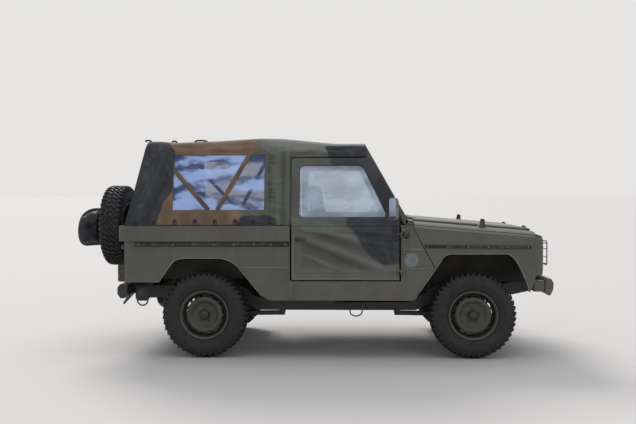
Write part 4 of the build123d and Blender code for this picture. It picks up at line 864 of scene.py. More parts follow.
parts = [box_part(1.03, 1.43, seat_y - 0.205, seat_y + 0.205, 0.58, 0.822),
         tube(rounded_line(back_tube + np.array([0.0, seat_y, 0.0]), 0.06), 0.011, up=(1, 0, 0.1)),
         box_part(-bench_end, bench_end, 0.345, 0.545, 0.935, 0.945)]
for x in (-bench_leg_x, bench_leg_x):
    parts.append(box_part(x - 0.012, x + 0.012, 0.345, 0.543, 0.7, 0.938))
softened(dress("seat_frames", both_sides(parts), chassis_black, "black_paint", smooth=False), 0.004)
pads = []
for k, y in ((1, -seat_y), (2, seat_y)):
    pads.append((f"seat_cushion_{k}", 0.7,
                 pad_part((1.235, y, 0.888), (0.235, 0.24, 0.066), pleats=5, sag=0.018)))
    pads.append((f"seat_back_{k}", 0.7,
                 pad_part((1.005, y, 1.25), (0.3, 0.228, 0.055), np.radians(99.8), 5)))
for k, y in ((1, bench_y), (2, -bench_y)):
    pads.append((f"bench_cushion_{k}", 0.6, pad_part((0.0, y, 0.97), (0.56, 0.107, 0.032), sag=0.006)))
pad_nodes = {"seat_cushion_1": ["front_seats"], "bench_cushion_1": ["rear_benches"]}
for name, fill, part in pads:
    dress(name, [part], seat_canvas, "seat_cover", *pad_nodes.get(name, []))

# Dashboard: a black moulded fascia with round dials on the left and a grab rail on the right, and
# the steering wheel on its column, which is a rubber-covered ring on three flat spokes.
wear(["dashboard", "steering_column"], black_moulding)
# Each dial's distance to the left, radius, and place along the car.
dials = ((0.3, 0.046, 1.647), (0.415, 0.046, 1.647), (0.2, 0.026, 1.6465), (0.515, 0.026, 1.6465))
dial_z = 1.105
rearward = ((0, 1, 0), (0, 0, 1), (-1, 0, 0))  # axes of a turned piece that faces the rear
rail = [(1.652, -0.2, 1.1), (1.622, -0.2, 1.1), (1.622, -0.52, 1.1), (1.652, -0.52, 1.1)]
tilt = np.radians(28)
wheel_axis = np.array([-np.cos(tilt), 0.0, np.sin(tilt)])
wheel_over = np.array([np.sin(tilt), 0.0, np.cos(tilt)])
wheel_top = np.array([1.5, 0.37, 1.215])
steering_radius = 0.187
boss_profile = [
    (0.019, -0.029), (0.022, -0.012), (0.04, -0.01), (0.045, -0.004), (0.045, 0.006), (0.036, 0.014),
    (0.015, 0.018), (0.0, 0.0185)]
parts, faces_on = [tube(rounded_line(rail, 0.02), 0.009, 10)], []
for y, radius, x in dials:
    parts.append(turned([(radius - 0.006, 0.0), (radius - 0.004, 0.01), (radius, 0.01),
                         (radius + 0.002, 0.0)], 28, (x, y, dial_z), rearward))
    faces_on.append(turned([(0.0, 0.003), (radius - 0.006, 0.003), (radius - 0.006, -0.002)], 28,
                           (x, y, dial_z), rearward))
dress("dash_fittings", parts, black_moulding, "dark_plastic")
dial_faces = mottled("dial_faces", (0.012, 0.012, 0.013), (0.1, 0.1, 0.095), (60.0, 3.0, 0.45, 0.7),
                     rough=0.25)
dress("dials", faces_on, dial_faces, "dark_plastic")


def on_steering(angle, reach, rise):
    """A point of the steering wheel: at an angle from the left, out from its middle and up its axis."""
    around = np.cos(angle) * np.array([0.0, 1.0, 0.0]) + np.sin(angle) * wheel_over
    return wheel_top + reach * around + rise * wheel_axis


around = np.linspace(0, 2 * np.pi, 73)[:-1, None]
parts = [tube(on_steering(around, steering_radius, 0.0), 0.013, 12, up=wheel_axis, close=True,
              squeeze=(1.0, 1.08)),
         turned(boss_profile, 32, wheel_top, ((0, 1, 0), wheel_over, wheel_axis))]
for angle in (0.0, np.pi, -np.pi / 2):
    spoke = [on_steering(angle, reach, rise) for reach, rise in (
        (0.03, -0.004), (0.08, -0.006), (0.14, -0.003), (0.18, 0.0))]
    parts.append(swept(flowing(spoke, 10), [(-0.016, -0.003), (0.016, -0.003), (0.012, 0.004),
                                            (-0.012, 0.004)], up=wheel_axis))
dress("steering_ring", parts, black_rubber, "dark_plastic", "steering_wheel", body="steering_wheel")

# Soft top: one sheet of waxed cotton canvas, laced to the belt and drawn over two hoops up to the
# windscreen. It is printed in black, brown and olive patches, sags between the hoops, and puckers
# along its hems. A clear vinyl window is sewn into each side and into the rear curtain.
belt_z, lean_foot, shoulder_z = 1.1876, 1.187, 1.862
belt_reach, side_lean, shoulder_width = 0.845, 0.2034, 0.085
rear_foot, rear_head = (-0.701, 1.187), (-0.528, 1.951)
canvas_rear, canvas_front = -0.7, 1.45
roof_line = np.array([
    (-0.528, 1.951), (-0.293, 1.939), (0.1, 1.951), (0.492, 1.974), (0.691, 1.971), (1.175, 1.922),
    (1.436, 1.921), (1.46, 1.921)])
window_rear, window_front, window_foot, window_head = -0.275, 0.545, 1.328, 1.82
door_line, door_head = 0.7815, 1.798
hoops = (-0.478, 0.56, 0.745, 1.44)
fastener_x, fastener_pitch = -0.069, 0.178
# Folds of the sides: from (x, height) to (x, height), with a width and how far the fold stands out.
side_folds = [
    (-0.6, 1.28, -0.4, 1.88, 0.022, 0.006), (-0.52, 1.22, -0.33, 1.7, 0.016, -0.0045),
    (-0.66, 1.21, -0.5, 1.8, 0.014, 0.004), (-0.5, 1.9, -0.26, 1.55, 0.018, 0.004),
    (0.6, 1.2, 0.585, 1.86, 0.012, -0.004), (0.66, 1.22, 0.648, 1.9, 0.01, 0.0045),
    (0.545, 1.5, 0.76, 1.62, 0.014, 0.003), (0.55, 1.42, 0.76, 1.36, 0.012, -0.0028),
    (-0.3, 1.86, 0.2, 1.885, 0.014, 0.006), (0.05, 1.865, 0.54, 1.9, 0.012, 0.0055),
    (-0.35, 1.91, 0.3, 1.845, 0.01, -0.0045), (0.62, 1.86, 1.2, 1.85, 0.012, 0.005),
    (0.8, 1.83, 1.43, 1.885, 0.011, -0.0045), (0.2, 1.3, 0.55, 1.215, 0.014, 0.0035),
    (0.71, 1.21, 0.715, 1.9, 0.011, -0.004), (0.5, 1.92, 1.42, 1.815, 0.013, 0.005),
    (0.46, 1.93, 0.66, 1.8, 0.012, 0.005), (-0.52, 1.9, -0.3, 1.84, 0.012, 0.0045)]
# The print's patches: length against the way up from the belt. Past 0.80 it is the roof, and past
# 2.0 the far side, which is printed the same way.
black_print = [[(-0.8, -0.05), (-0.44, -0.05), (-0.432, 0.03), (-0.4, 0.115), (-0.35, 0.22),
                (-0.282, 0.34), (-0.262, 0.66), (-0.3, 0.735), (-0.42, 0.86), (-0.8, 0.92)],
               [(0.325, -0.05), (0.665, -0.05), (0.65, 0.08), (0.56, 0.098), (0.345, 0.092),
                (0.305, 0.03)],
               [(0.62, 1.02), (1.05, 0.92), (1.3, 1.06), (1.12, 1.3), (0.72, 1.26)],
               [(1.12, 0.5), (1.6, 0.5), (1.6, 0.752), (1.3, 0.758), (1.08, 0.742), (1.105, 0.69)],
               [(-0.7, 1.62), (-0.3, 1.52), (-0.05, 1.72), (-0.2, 2.1), (-0.45, 2.6), (-0.8, 2.55)],
               [(0.2, 2.15), (0.62, 2.05), (0.72, 2.42), (0.45, 2.62), (0.18, 2.45)]]
brown_print = [[(-0.445, -0.05), (0.325, -0.05), (0.345, 0.095), (0.325, 0.158), (-0.235, 0.158),
                (-0.27, 0.3), (-0.25, 0.4), (-0.3, 0.42), (-0.36, 0.3), (-0.41, 0.12)],
               [(-0.33, 0.66), (0.3, 0.64), (0.47, 0.66), (0.5, 0.8), (0.36, 1.15), (0.05, 1.4),
                (-0.32, 1.28), (-0.42, 0.95)],
               [(0.1, 1.95), (0.52, 1.7), (0.9, 1.88), (0.7, 2.05), (0.2, 2.12)],
               [(-0.3, 2.2), (0.15, 2.26), (0.42, 2.66), (0.1, 2.9), (-0.38, 2.9)]]


def side_reach(z):
    """Half width of the canvas at a height up its leaning side."""
    return belt_reach - np.maximum(0, np.asarray(z, float) - lean_foot) * side_lean


def rear_edge(z):
    """Where the canvas ends at the rear, at a height."""
    return np.interp(z, (rear_foot[1], rear_head[1]), (rear_foot[0], rear_head[0]))


def eased(value, low, high):
    """A smooth rise from 0 to 1 as the value goes from low to high."""
    t = np.clip((np.asarray(value, float) - low) / (high - low), 0, 1)
    return t * t * (3 - 2 * t)


def ridge(distance, width):
    """A rounded ridge, 1 at its crest and dying out at about twice its width."""
    return np.exp(-((distance / width) ** 2))


def swell(x, s, seed, spread):
    """A smooth random height: a sum of sines whose directions and phases come from a seed."""
    random = np.random.default_rng(seed)
    total = 0.0
    for k in range(7):
        angle, phase = random.uniform(0, 2 * np.pi, 2)
        wave = spread * random.uniform(0.6, 1.7)
        total = total + np.sin((x * np.cos(angle) + s * np.sin(angle)) * 2 * np.pi / wave + phase)
    return total / 7


def folds(x, s, rows):
    """Folds along straight lines, each (x0, s0, x1, s1, width, height): a ridge over the line, dying
    out towards its ends."""
    total = 0.0
    for x0, s0, x1, s1, width, height in rows:
        length = np.hypot(x1 - x0, s1 - s0)
        along = ((x - x0) * (x1 - x0) + (s - s0) * (s1 - s0)) / length
        aside = ((s - s0) * (x1 - x0) - (x - x0) * (s1 - s0)) / length
        fading = np.sin(np.pi * np.clip(along / length, 0, 1)) ** 0.7
        total = total + height * ridge(aside, width) * fading * ((along > 0) & (along < length))
    return total


def canvas_relief(x, z, side):
    """How far the side's canvas stands out: slack between its fixings, folds from the window's
    corners and the hoops, and puckers over the belt's fasteners."""
    shift = 0.0 if side < 0 else 0.031
    free = eased(z, 1.19, 1.3) * (1 - 0.5 * eased(z, 1.8, 1.9))
    push = (0.005 * swell(x, z, 11 + int(side), 0.34) * free +
            0.0024 * swell(x, z, 21 + int(side), 0.11) * free)
    around = 2 * np.pi * (x - fastener_x + shift) / fastener_pitch
    push = push + 0.0045 * np.cos(around) * ridge(z - 1.245, 0.05)
    push = push + 2.3 * folds(x, z, side_folds)
    seam = np.minimum(np.abs(x - 0.676), np.abs(x - 0.753))
    push = push + 0.0085 * ridge(seam, 0.007) * (z < 1.93)
    gather = ridge(x - 0.615, 0.045) * eased(z, 1.2, 1.32) * (1 - eased(z, 1.78, 1.86))
    push = push + 0.006 * gather * np.sin(2 * np.pi * (z * 13.0 + 0.9 * np.sin(z * 21.0) + x * 3.0))
    inside_x = np.minimum(x - window_rear, window_front - x)
    inside_z = np.minimum(z - window_foot, window_head - z)
    hem = np.abs(np.minimum(inside_x, inside_z) + 0.012)
    return push + 0.0018 * np.exp(-((hem / 0.01) ** 4))


def canvas_line(x, place, side):
    """A line of points along the car: place 0 to 1 is up the side, 1 to 2 round the shoulder and 2
    to 3 over the roof to its middle."""
    top = np.interp(x, *roof_line.T)
    corner = side_reach(top)
    if place < 1:
        z = np.full_like(x, belt_z + place * (shoulder_z - belt_z))
        y = side_reach(z) + canvas_relief(x, z, side)
    elif place <= 2:
        t = place - 1
        start, bend, end = (1 - t) ** 2, 2 * t * (1 - t), t**2
        z = start * shoulder_z + bend * (top - 0.004) + end * top
        y = start * side_reach(shoulder_z) + bend * corner + end * (corner - shoulder_width)
        y = y + canvas_relief(x, z, side) * (1 - t)
    else:
        t = place - 2
        y = (corner - shoulder_width) * (1 - t)
        span = np.searchsorted(hoops, x).clip(1, 3)
        first, last = np.take(hoops, span - 1), np.take(hoops, span)
        between = np.clip((x - first) / (last - first), 0, 1)
        slack = 4 * between * (1 - between) * np.clip(last - first, 0, 0.9)
        z = (top - 0.022 * slack * eased(t, 0.0, 0.5)
             + 0.0035 * swell(x, side * y, 31, 0.3) * eased(t, 0, 0.2))
        z = z + folds(x, side * y, [(-0.46, 0.5, 0.5, -0.42, 0.03, 0.004),
                                    (-0.44, -0.45, 0.52, 0.36, 0.03, -0.004)])
    return np.stack([x, side * y, z], axis=-1)


def stations(*runs):
    """Evenly spaced values over several runs of (first, last, count), each value once."""
    return np.unique(np.round(np.concatenate([np.linspace(*run) for run in runs]), 5))


def grid_piece(name, points, flip=False, keep=None, close=False):
    """A sheet whose points lie in rows and columns; keep says which of its faces are made."""
    faces = grid_faces(*points.shape[:2], False, close)
    faces = faces if keep is None else faces[np.ravel(keep)]
    return mesh_piece(name, from_axle(points.reshape(-1, 3)), faces[:, ::-1] if flip else faces)


def stored(piece, **layers):
    """Store numbers at a piece's points, under the names by which its material reads them."""
    for name, values in layers.items():
        layer = piece.data.attributes.new(name, "FLOAT", "POINT")
        layer.data.foreach_set("value", np.ravel(values).astype(np.float32))


def patches(shapes, x, s):
    """Signed distance into the nearest of several closed patches, positive inside. Their corners
    are rounded."""
    depths = []
    for shape in shapes:
        points = rounded_line(shape, 0.08, 5, close=True)
        nearest, inside = np.full(np.shape(x), 9.0), np.zeros(np.shape(x), bool)
        for (x0, s0), (x1, s1) in zip(points, np.roll(points, -1, 0)):
            run_x, run_s = x1 - x0, s1 - s0
            share = np.clip(((x - x0) * run_x + (s - s0) * run_s) / (run_x**2 + run_s**2), 0, 1)
            nearest = np.minimum(nearest, np.hypot(x - x0 - share * run_x, s - s0 - share * run_s))
            if s0 != s1:
                inside ^= ((s0 > s) != (s1 > s)) & (x < run_x * (s - s0) / run_s + x0)
        depths.append(np.where(inside, nearest, -nearest))
    return np.max(depths, axis=0)


def printed(piece, x, s):
    """Store for the material how deep each point lies in the black and in the brown print, and how
    far the olive is lightened by a painted highlight where the sky lights the roof's top, which is most on
    the roof's front half."""
    x, s = np.ravel(x), np.ravel(s)
    stored(piece, black_print=patches(black_print, x, s), brown_print=patches(brown_print, x, s),
           roof_top_highlight=0.75 * eased(s, 0.62, 0.8) * eased(x, 0.42, 0.62))


def dyed(mix, shade, layers, wander, edge, patch, paler):
    """Prints dyed over a shade, by their stored depths: the edges wander and the dyes are patchy."""
    stray = mix.sum(mix.sum(mix.mottle(9.0, 5.0), 0.5, "SUBTRACT"), wander, "MULTIPLY")
    for layer, tint in layers:
        dye = mix.mixed(mix.step(mix.mottle(patch, 6.0), 0.35, 0.7), tint,
                        tuple(c * paler[0] + paler[1] for c in tint))
        shade = mix.mixed(mix.step(mix.sum(mix.stored(layer), stray), -edge, edge), shade, dye)
    return shade


mix = Finish("printed_canvas", roughness=0.88)
olive = (0.082, 0.086, 0.071)
shade = mix.mixed(mix.step(mix.mottle(2.2, 5.0), 0.35, 0.68), olive,
                  tuple(c * 1.28 + 0.004 for c in olive))
# The olive is lightened along the roof's top as a painted highlight, where the sky lights it.
shade = mix.mixed(mix.stored("roof_top_highlight"), shade, (0.215, 0.222, 0.206))
shade = dyed(mix, shade, (("brown_print", (0.134, 0.087, 0.055)),
                          ("black_print", (0.024, 0.026, 0.031))), wander=0.09, edge=0.006, patch=4.0,
             paler=(1.35, 0.006))
dust = mix.step(mix.mottle(15.0, 7.0), 0.5, 0.8, 0.0, 0.25)
# The canvas's stored folds get a painted highlight on their ridges and painted shade in their hollows.
shade = mix.folded(mix.mixed(dust, shade, (0.16, 0.15, 0.13)))
mix.relief((mix.mottle(28.0, 4.0, mix.stretched((1.0, 1.0, 0.55))), 0.0035),
           (mix.mottle(950.0, 2.0), 0.00035))
canvas = mix.painted(shade)

columns = stations((canvas_rear, window_rear, 36), (window_rear, window_front, 62),
                   (window_front, door_line, 20), (door_line, canvas_front, 50))
side_rows = stations((belt_z, window_foot, 13), (window_foot, door_head, 36),
                     ((door_head + window_head) / 2, window_head, 2), (window_head, shoulder_z, 5))
turn_rows, roof_rows = 9, 22  # rows round the shoulder, and from there to the middle of the roof
places = np.concatenate([(side_rows - belt_z) / (shoulder_z - belt_z),
                         1 + np.arange(1, turn_rows) / turn_rows, 2 + np.arange(roof_rows) / roof_rows])
order = [(place, -1) for place in places] + [(3.0, 1)] + [(place, 1) for place in places[::-1]]
sheet = np.stack([canvas_line(columns, place, side) for place, side in order])
lag = np.clip((window_rear - columns) / (window_rear - canvas_rear), 0, 1)
sheet[..., 0] = columns + lag * (rear_edge(sheet[..., 2]) - canvas_rear)
z = sheet[..., 2]
middle_x = 0.5 * (columns[:-1] + columns[1:])
middle_z = 0.25 * (z[:-1, :-1] + z[1:, :-1] + z[:-1, 1:] + z[1:, 1:])
row = np.arange(len(z) - 1)[:, None]
upright = (row < len(side_rows) - 1) | (row >= len(z) - len(side_rows))
open_door = (middle_x > door_line) & (middle_z < door_head)
open_window = ((middle_x > window_rear) & (middle_x < window_front) & (middle_z > window_foot)
               & (middle_z < window_head))
top = grid_piece("canvas_top", sheet, keep=~(upright & (open_door | open_window)))
across = np.concatenate([[0], np.cumsum(np.linalg.norm(np.diff(sheet[:, 60], axis=0), axis=1))])
girth = across[-1]
way_up = np.where(across > girth - 0.8, girth - across, across)
printed(top, sheet[..., 0], np.repeat(way_up, len(columns)))
relief = np.where(sheet[..., 1] < 0, canvas_relief(columns[None], z, -1),
                  canvas_relief(columns[None], z, 1))
# The side's relief is stored as the fold number that sets the painted highlight and shade of its folds.
stored(top, fold=np.clip(relief * (1 - eased(way_up, 0.7, 0.8))[:, None] / 0.009, -1, 1))
clothed(thickened(top, 0.0022, -1.0), canvas, "chassis", "canvas", "soft_top")

# Clear vinyl windows: soft sheet sewn into the sides and the rear curtain. Its cloudy blue-grey is a
# painted reflection of the sky; the sheet is glossy, and it ripples where it has stretched. Two webbing
# straps cross outside each side window.
sewn_edge = 0.012
sides = ((-1, "right"), (1, "left"))
strap_half = 0.019
strap_ends = [(-0.277, 1.69, 0.047, 1.33), (0.412, 1.834, 0.125, 1.33)]  # x, height, to x, height


def vinyl(name, deep, pale, streak, hidden):
    """Cloudy vinyl whose blue, from deep to pale in long streaks, is a painted reflection of the sky; the
    pale parts hide more.
    """
    mix = Finish(name, roughness=0.16, more={"Specular IOR Level": 0.8})
    cloud = mix.step(mix.mottle(2.8, 4.0, mix.stretched((1.0, 1.0, 2.4), (0.0, 0.35, 0.0)), 0.5),
                     *streak)
    mix.relief((mix.mottle(5.0, 2.0, mix.stretched((1.0, 1.0, 1.7))), 0.006),
               (mix.mottle(24.0, 3.0), 0.001))
    mix.feed(mix.step(cloud, 0.0, 1.0, *hidden), mix.shader.inputs["Alpha"])
    return mix.painted(mix.mixed(cloud, deep, pale))


def vinyl_slack(x, z, phase):
    """Ripples of a loose vinyl sheet, in metres: waves that lean with the pull of the straps."""
    return (0.003 * np.sin(2 * np.pi * (x * 2.6 + z * 1.4) + phase) *
            np.sin(2 * np.pi * (z * 2.1 - x * 0.8) + phase) +
            0.0016 * np.sin(2 * np.pi * (x * 6.3 - z * 3.1) + 2.0 * phase))


def inset(x, z):
    """How far points lie inside the rim of their own oblong."""
    return np.minimum.reduce([x - x.min(), x.max() - x, z - z.min(), z.max() - z])


def side_sheet(name, x, z, push, side, flip=False):
    """A sheet that stands out from the canvas's leaning side."""
    return grid_piece(name, np.stack([x, side * (side_reach(z) + push), z], axis=-1), flip)


# The blue of both vinyls is a painted reflection of the sky.
clear_vinyl = vinyl("clear_vinyl", (0.06, 0.105, 0.29), (0.4, 0.565, 0.96), (0.42, 0.57),
                    (0.52, 0.84))
door_vinyl_painted_sky = vinyl("door_vinyl", (0.4, 0.5, 0.62), (0.6, 0.72, 0.87), (0.3, 0.66),
                   (0.56, 0.68))
for side, word in sides:
    x, z = np.meshgrid(np.linspace(window_rear - sewn_edge, window_front + sewn_edge, 64),
                       np.linspace(window_foot - sewn_edge, window_head + sewn_edge, 42))
    push = vinyl_slack(x, z, 0.7 + side) * eased(inset(x, z), 0.01, 0.06) - 0.0035
    pane = side_sheet(f"vinyl_window_{word}", x, z, push, side, side > 0)
    clothed(pane, clear_vinyl, "chassis", "clear_vinyl", *(["soft_top_windows"] if side < 0 else []))

strap_webbing = mottled("strap_webbing", (0.085, 0.06, 0.044), (0.185, 0.118, 0.07),
                        (5.0, 5.0, 0.38, 0.66), (420.0, 2.0, 0.0006), rough=0.85)
for side, word in sides:
    for k, (x0, z0, x1, z1) in enumerate(strap_ends):
        run_x, run_z = x1 - x0, z1 - z0
        length = float(np.hypot(run_x, run_z))
        t, w = np.meshgrid(np.linspace(0, 1, 40), np.linspace(-strap_half, strap_half, 5))
        x, z = x0 + run_x * t + run_z / length * w, z0 + run_z * t - run_x / length * w
        push = 0.0055 + 0.0025 * np.sin(np.pi * t) + 0.0008 * np.sin(9 * t + k) - 6.0 * w**2
        strap = side_sheet(f"window_strap_{word}_{k + 1}", x, z, push, side)
        clothed(thickened(strap, 0.002), strap_webbing, "chassis", "canvas")

# Door valances: a narrow strip of canvas hangs inside each door opening's head, behind the door's
# frame, and keeps rain and light out of the gap.
valance_shares = (0, 0.25, 1)
for side, word in sides:
    x, share = np.meshgrid(np.linspace(0.772, 1.452, 60), np.linspace(0, 1, 8))
    z = (np.interp(share, valance_shares, (1.812, 1.8, 1.742))
         + 0.002 * swell(x, share, 81, 0.2) * share)
    inward = np.interp(share, valance_shares, (0.004, 0.024, 0.036)) + 0.002 * np.sin(x * 31.0) * share
    valance = side_sheet(f"door_valance_{word}", x, z, -inward, side, side < 0)
    printed(valance, x, z - lean_foot)
    clothed(thickened(valance, 0.002), canvas, "chassis", "canvas")

# Rear curtain: a flat canvas sheet between the sides, strapped down to the tailgate's top edge,
# with a vinyl window between two hems. It slackens a little over the spare wheel.
window_share, window_half, sill, lintel = 0.62, 0.4, 1.38, 1.8
curtain_folds = [
    (-0.8, 1.22, -0.46, 1.86, 0.02, 0.006), (0.8, 1.22, 0.46, 1.86, 0.02, -0.005),
    (-0.42, 1.3, 0.42, 1.24, 0.015, 0.0045)]
cols = stations((-1, -window_share, 14), (-window_share, window_share, 40), (window_share, 1, 14))
rows = stations((belt_z, sill, 10), (sill, lintel, 20), (lintel, 1.944, 8))
share, z = np.meshgrid(cols, rows)
half = np.where(z > shoulder_z, np.maximum(np.minimum(side_reach(z), 0.6 + (1.985 - z) * 1.05), 0.6),
                side_reach(z))
y = np.where(np.abs(share) <= window_share, share / window_share * window_half,
             np.sign(share) * (window_half + (np.abs(share) - window_share) / (1 - window_share)
                               * (half - window_half)))
slack = (0.0045 * swell(y, z, 41, 0.32) + folds(y, z, curtain_folds)) * eased(z, 1.19, 1.27)
glazed = ((np.abs(cols[:-1] + cols[1:]) < 2 * window_share)[None]
          & ((rows[:-1] + rows[1:] > 2 * sill) & (rows[:-1] + rows[1:] < 2 * lintel))[:, None])
curtain = grid_piece("rear_curtain", np.stack([rear_edge(z) - slack + 0.0015, y, z], axis=-1), True,
                     ~glazed)
printed(curtain, np.interp(z, (rear_foot[1], rear_head[1]), (-0.75, -0.45)) + 0.15 * y, y + 0.9)
clothed(thickened(curtain, 0.0022, -1.0), canvas, "chassis", "canvas")
y, z = np.meshgrid(np.linspace(-window_half - sewn_edge, window_half + sewn_edge, 56),
                   np.linspace(sill - sewn_edge, lintel + sewn_edge, 34))
x = rear_edge(z) + 0.004 - vinyl_slack(y, z, 2.4) * eased(inset(y, z), 0.01, 0.06)
pane = grid_piece("vinyl_window_rear", np.stack([x, y, z], axis=-1), True)
clothed(pane, clear_vinyl, "chassis", "clear_vinyl")

# Canvas fastenings: black rubber loops pulled over turnbuckles along the belt, a black piping in the
# hem, and three rolled-up tie straps on the roof's rear edge.
fastener_places, knob_z = (-0.603, -0.431, -0.252, -0.069, 0.109, 0.289, 0.454, 0.595), 1.227
knob_profile = [(0.0, 0.0115), (0.007, 0.011), (0.009, 0.008), (0.016, 0.0075), (0.0185, 0.005),
                (0.0185, -0.004)]
loop_line = np.array([
    (-0.012, 0.849, 1.196), (-0.014, 0.8475, 1.232), (0.0, 0.8455, 1.25), (0.014, 0.8475, 1.232),
    (0.012, 0.849, 1.196)])
roll_ends = ((-0.574, -0.517, 1.9525), (-0.325, -0.282, 1.9445), (-0.117, 0.003, 1.949))  # x, to x, height
roll_line = ((0.0, 0.585, 0.0), (0.2, 0.585, 0.012), (0.75, 0.59, 0.011), (1.0, 0.592, 0.0))
hem_y, hem_z = 0.8475, 1.1925
buttons = []
for x in fastener_places:
    buttons.append(turned(knob_profile, 18, (x, float(side_reach(knob_z)), knob_z),
                          ((1, 0, 0), (0, 0, 1.15), (0, 1, side_lean))))
    buttons.append(tube(rounded_line(loop_line + [x, 0.0, 0.0], 0.012, 5), 0.0035, 6, up=(0, 1, 0)))
run = np.linspace(-0.695, 0.768, 90)
side_hem = np.stack([run, hem_y + 0.0012 * np.cos(2 * np.pi * (run - fastener_x) / fastener_pitch),
                     np.full_like(run, hem_z)], axis=1)
rear_hem = np.stack([np.full(60, -0.7035), np.linspace(-0.842, 0.842, 60), np.full(60, hem_z)], axis=1)
rolls = [tube(flowing([(x0 + share * (x1 - x0), y, z + rise) for share, y, rise in roll_line], 14),
              0.011, 10, squeeze=(1.3, 0.75)) for x0, x1, z in roll_ends]
dress("canvas_fasteners", both_sides(buttons), black_rubber, "rubber")
dress("hem_piping", both_sides([tube(side_hem, 0.0045)]) + [tube(rear_hem, 0.0045)], black_rubber,
      "rubber")
softened(dress("tie_straps", both_sides(rolls), black_rubber, "rubber"), 0.001)

# Doors: a welded steel frame covered in printed canvas, hung on two lift-off hinges, with a vinyl
# window sewn into its top half. The skin sags in long folds between the frame's bars. Each door
# carries a mirror on a tube arm, and each mirror's head is a dark shell with its glass to the rear.
door_rear, door_front, door_foot = 0.789, 1.742, 0.706
door_black = [[(1.275, 0.09), (1.262, -0.005), (1.345, -0.05), (1.4, -0.15), (1.44, -0.245),
               (1.545, -0.335), (1.64, -0.35), (1.9, -0.33), (1.9, 0.1)],
              [(1.11, 0.7), (1.13, 0.52), (1.3, 0.5), (1.44, 0.44), (1.6, 0.1), (1.9, 0.05),
               (1.9, 0.7)]]
door_green = [[(0.7, 0.075), (0.86, -0.035), (1.0, -0.052), (1.13, -0.05), (1.235, -0.03),
               (1.2, 0.02), (1.02, 0.03), (0.9, 0.075)]]
# Folds of the lower skin: from (x, height) to (x, height), with a width and how far the fold stands out.
skin_folds = [
    (0.8, 1.12, 1.74, 0.745, 0.026, 0.015), (0.82, 1.06, 1.6, 0.735, 0.02, -0.008),
    (0.86, 1.165, 1.72, 0.88, 0.022, -0.008), (0.82, 0.96, 1.35, 0.74, 0.02, 0.01),
    (0.95, 1.15, 1.74, 0.99, 0.019, 0.0105), (1.15, 1.15, 1.735, 1.075, 0.014, -0.006),
    (1.55, 1.14, 1.7, 0.76, 0.02, 0.0075), (1.42, 1.15, 1.66, 0.74, 0.016, -0.005),
    (0.83, 1.15, 0.86, 0.8, 0.014, 0.0045), (0.9, 0.79, 1.5, 0.765, 0.012, 0.005)]
window_corners = [(0.857, 1.266), (0.865, 1.717), (1.418, 1.719), (1.636, 1.264)]
frame_corners = [(0.786, 1.181), (0.786, 1.788), (1.496, 1.788), (1.7315, 1.376), (1.744, 1.181)]
# Rows of the sewn window frame: share of the way out from the pane, and how far the row stands out.
frame_rows = [
    (0.0, -0.016), (0.06, -0.003), (0.16, 0.002), (0.34, 0.0045), (0.5, 0.004), (0.66, 0.005),
    (0.84, 0.0035), (0.94, 0.0042), (1.0, 0.0036)]
pane_rear, pane_foot, pane_head = 0.846, 1.25, 1.731
bar_line = np.array([
    (0.805, 0.722), (0.805, 1.772), (1.488, 1.772), (1.718, 1.372), (1.73, 1.18), (1.73, 0.722)])
hinge_x, hinge_heights = 1.757, (0.785, 1.11)
hinge_half, mount_y = 0.0125, 0.8505
frame_y, middle_bar_z = 0.832, 1.192

mix = Finish("door_canvas", roughness=0.85)
shade = mix.mixed(mix.step(mix.mottle(2.4, 5.0), 0.35, 0.68), (0.084, 0.085, 0.072),
                  (0.104, 0.105, 0.091))
shade = dyed(mix, shade, (("green_print", (0.088, 0.106, 0.09)),
                          ("black_print", (0.028, 0.03, 0.037))), wander=0.07, edge=0.008, patch=5.0,
             paler=(1.3, 0.004))
mix.relief((mix.mottle(24.0, 4.0, mix.stretched((1.0, 1.0, 1.8))), 0.003),
           (mix.mottle(950.0, 2.0), 0.00035))
# The door's stored folds get a painted highlight on their ridges and painted shade in their hollows; its
# hem is paler.
shade = mix.mixed(mix.sum(mix.stored("hem"), 0.7, "MULTIPLY"), mix.folded(shade), (0.185, 0.183, 0.158))
door_canvas = mix.painted(shade, mix.step(mix.mottle(6.0), 0.3, 0.7, 0.72, 0.92))
mirror_glass = mottled("mirror_glass", (0.85, 0.87, 0.88), (0.74, 0.76, 0.77), (20.0, 4.0, 0.4, 0.7),
                       rough=0.05, metallic=1.0)
mirror_paint = mottled("mirror_shell", (0.18, 0.185, 0.18), (0.1, 0.1, 0.095), (16.0, 5.0, 0.4, 0.7),
                       (500.0, 2.0, 0.0003), rough=0.55)


def door_printed(piece, x, s):
    """Store how deep each point lies in each colour of the door's print."""
    stored(piece, black_print=patches(door_black, np.ravel(x), np.ravel(s)),
           green_print=patches(door_green, np.ravel(x), np.ravel(s)))


def skin_push(x, z):
    """How far the door's lower skin stands out, in metres: tight over the bars, hollow between
    them, with long folds that fall forward from the rear bar to the front corner."""
    edge = np.minimum.reduce([x - 0.824, (1.722 - x) * 1.4, z - 0.77, 1.146 - z])
    free = eased(edge, 0.0, 0.075)
    push = -0.007 * free + 0.0042 * swell(x, z, 51, 0.34) * free
    push = push + 1.45 * folds(x, z, skin_folds) * eased(edge, -0.01, 0.03)
    seam = np.minimum.reduce([np.abs(x - 0.824) + 1.0 * (z > 1.15), np.abs(z - 0.766),
                              np.abs(z - 1.147)])
    push = push - 0.0028 * ridge(seam, 0.0055) + 0.0016 * ridge(seam - 0.011, 0.005)
    bar = np.minimum.reduce([x - door_rear, door_front - x, z - door_foot])
    return np.maximum(push, -0.0125) + 0.003 * eased(bar, 0.0, 0.018)


def even_loop(points, count):
    """Points spaced evenly round a closed line, starting at its first point."""
    loop = np.concatenate([points, points[:1]])
    way = np.concatenate([[0], np.cumsum(np.linalg.norm(np.diff(loop, axis=0), axis=1))])
    place = np.linspace(0, way[-1], count, endpoint=False)
    return np.stack([np.interp(place, way, loop[:, k]) for k in (0, 1)], axis=1)


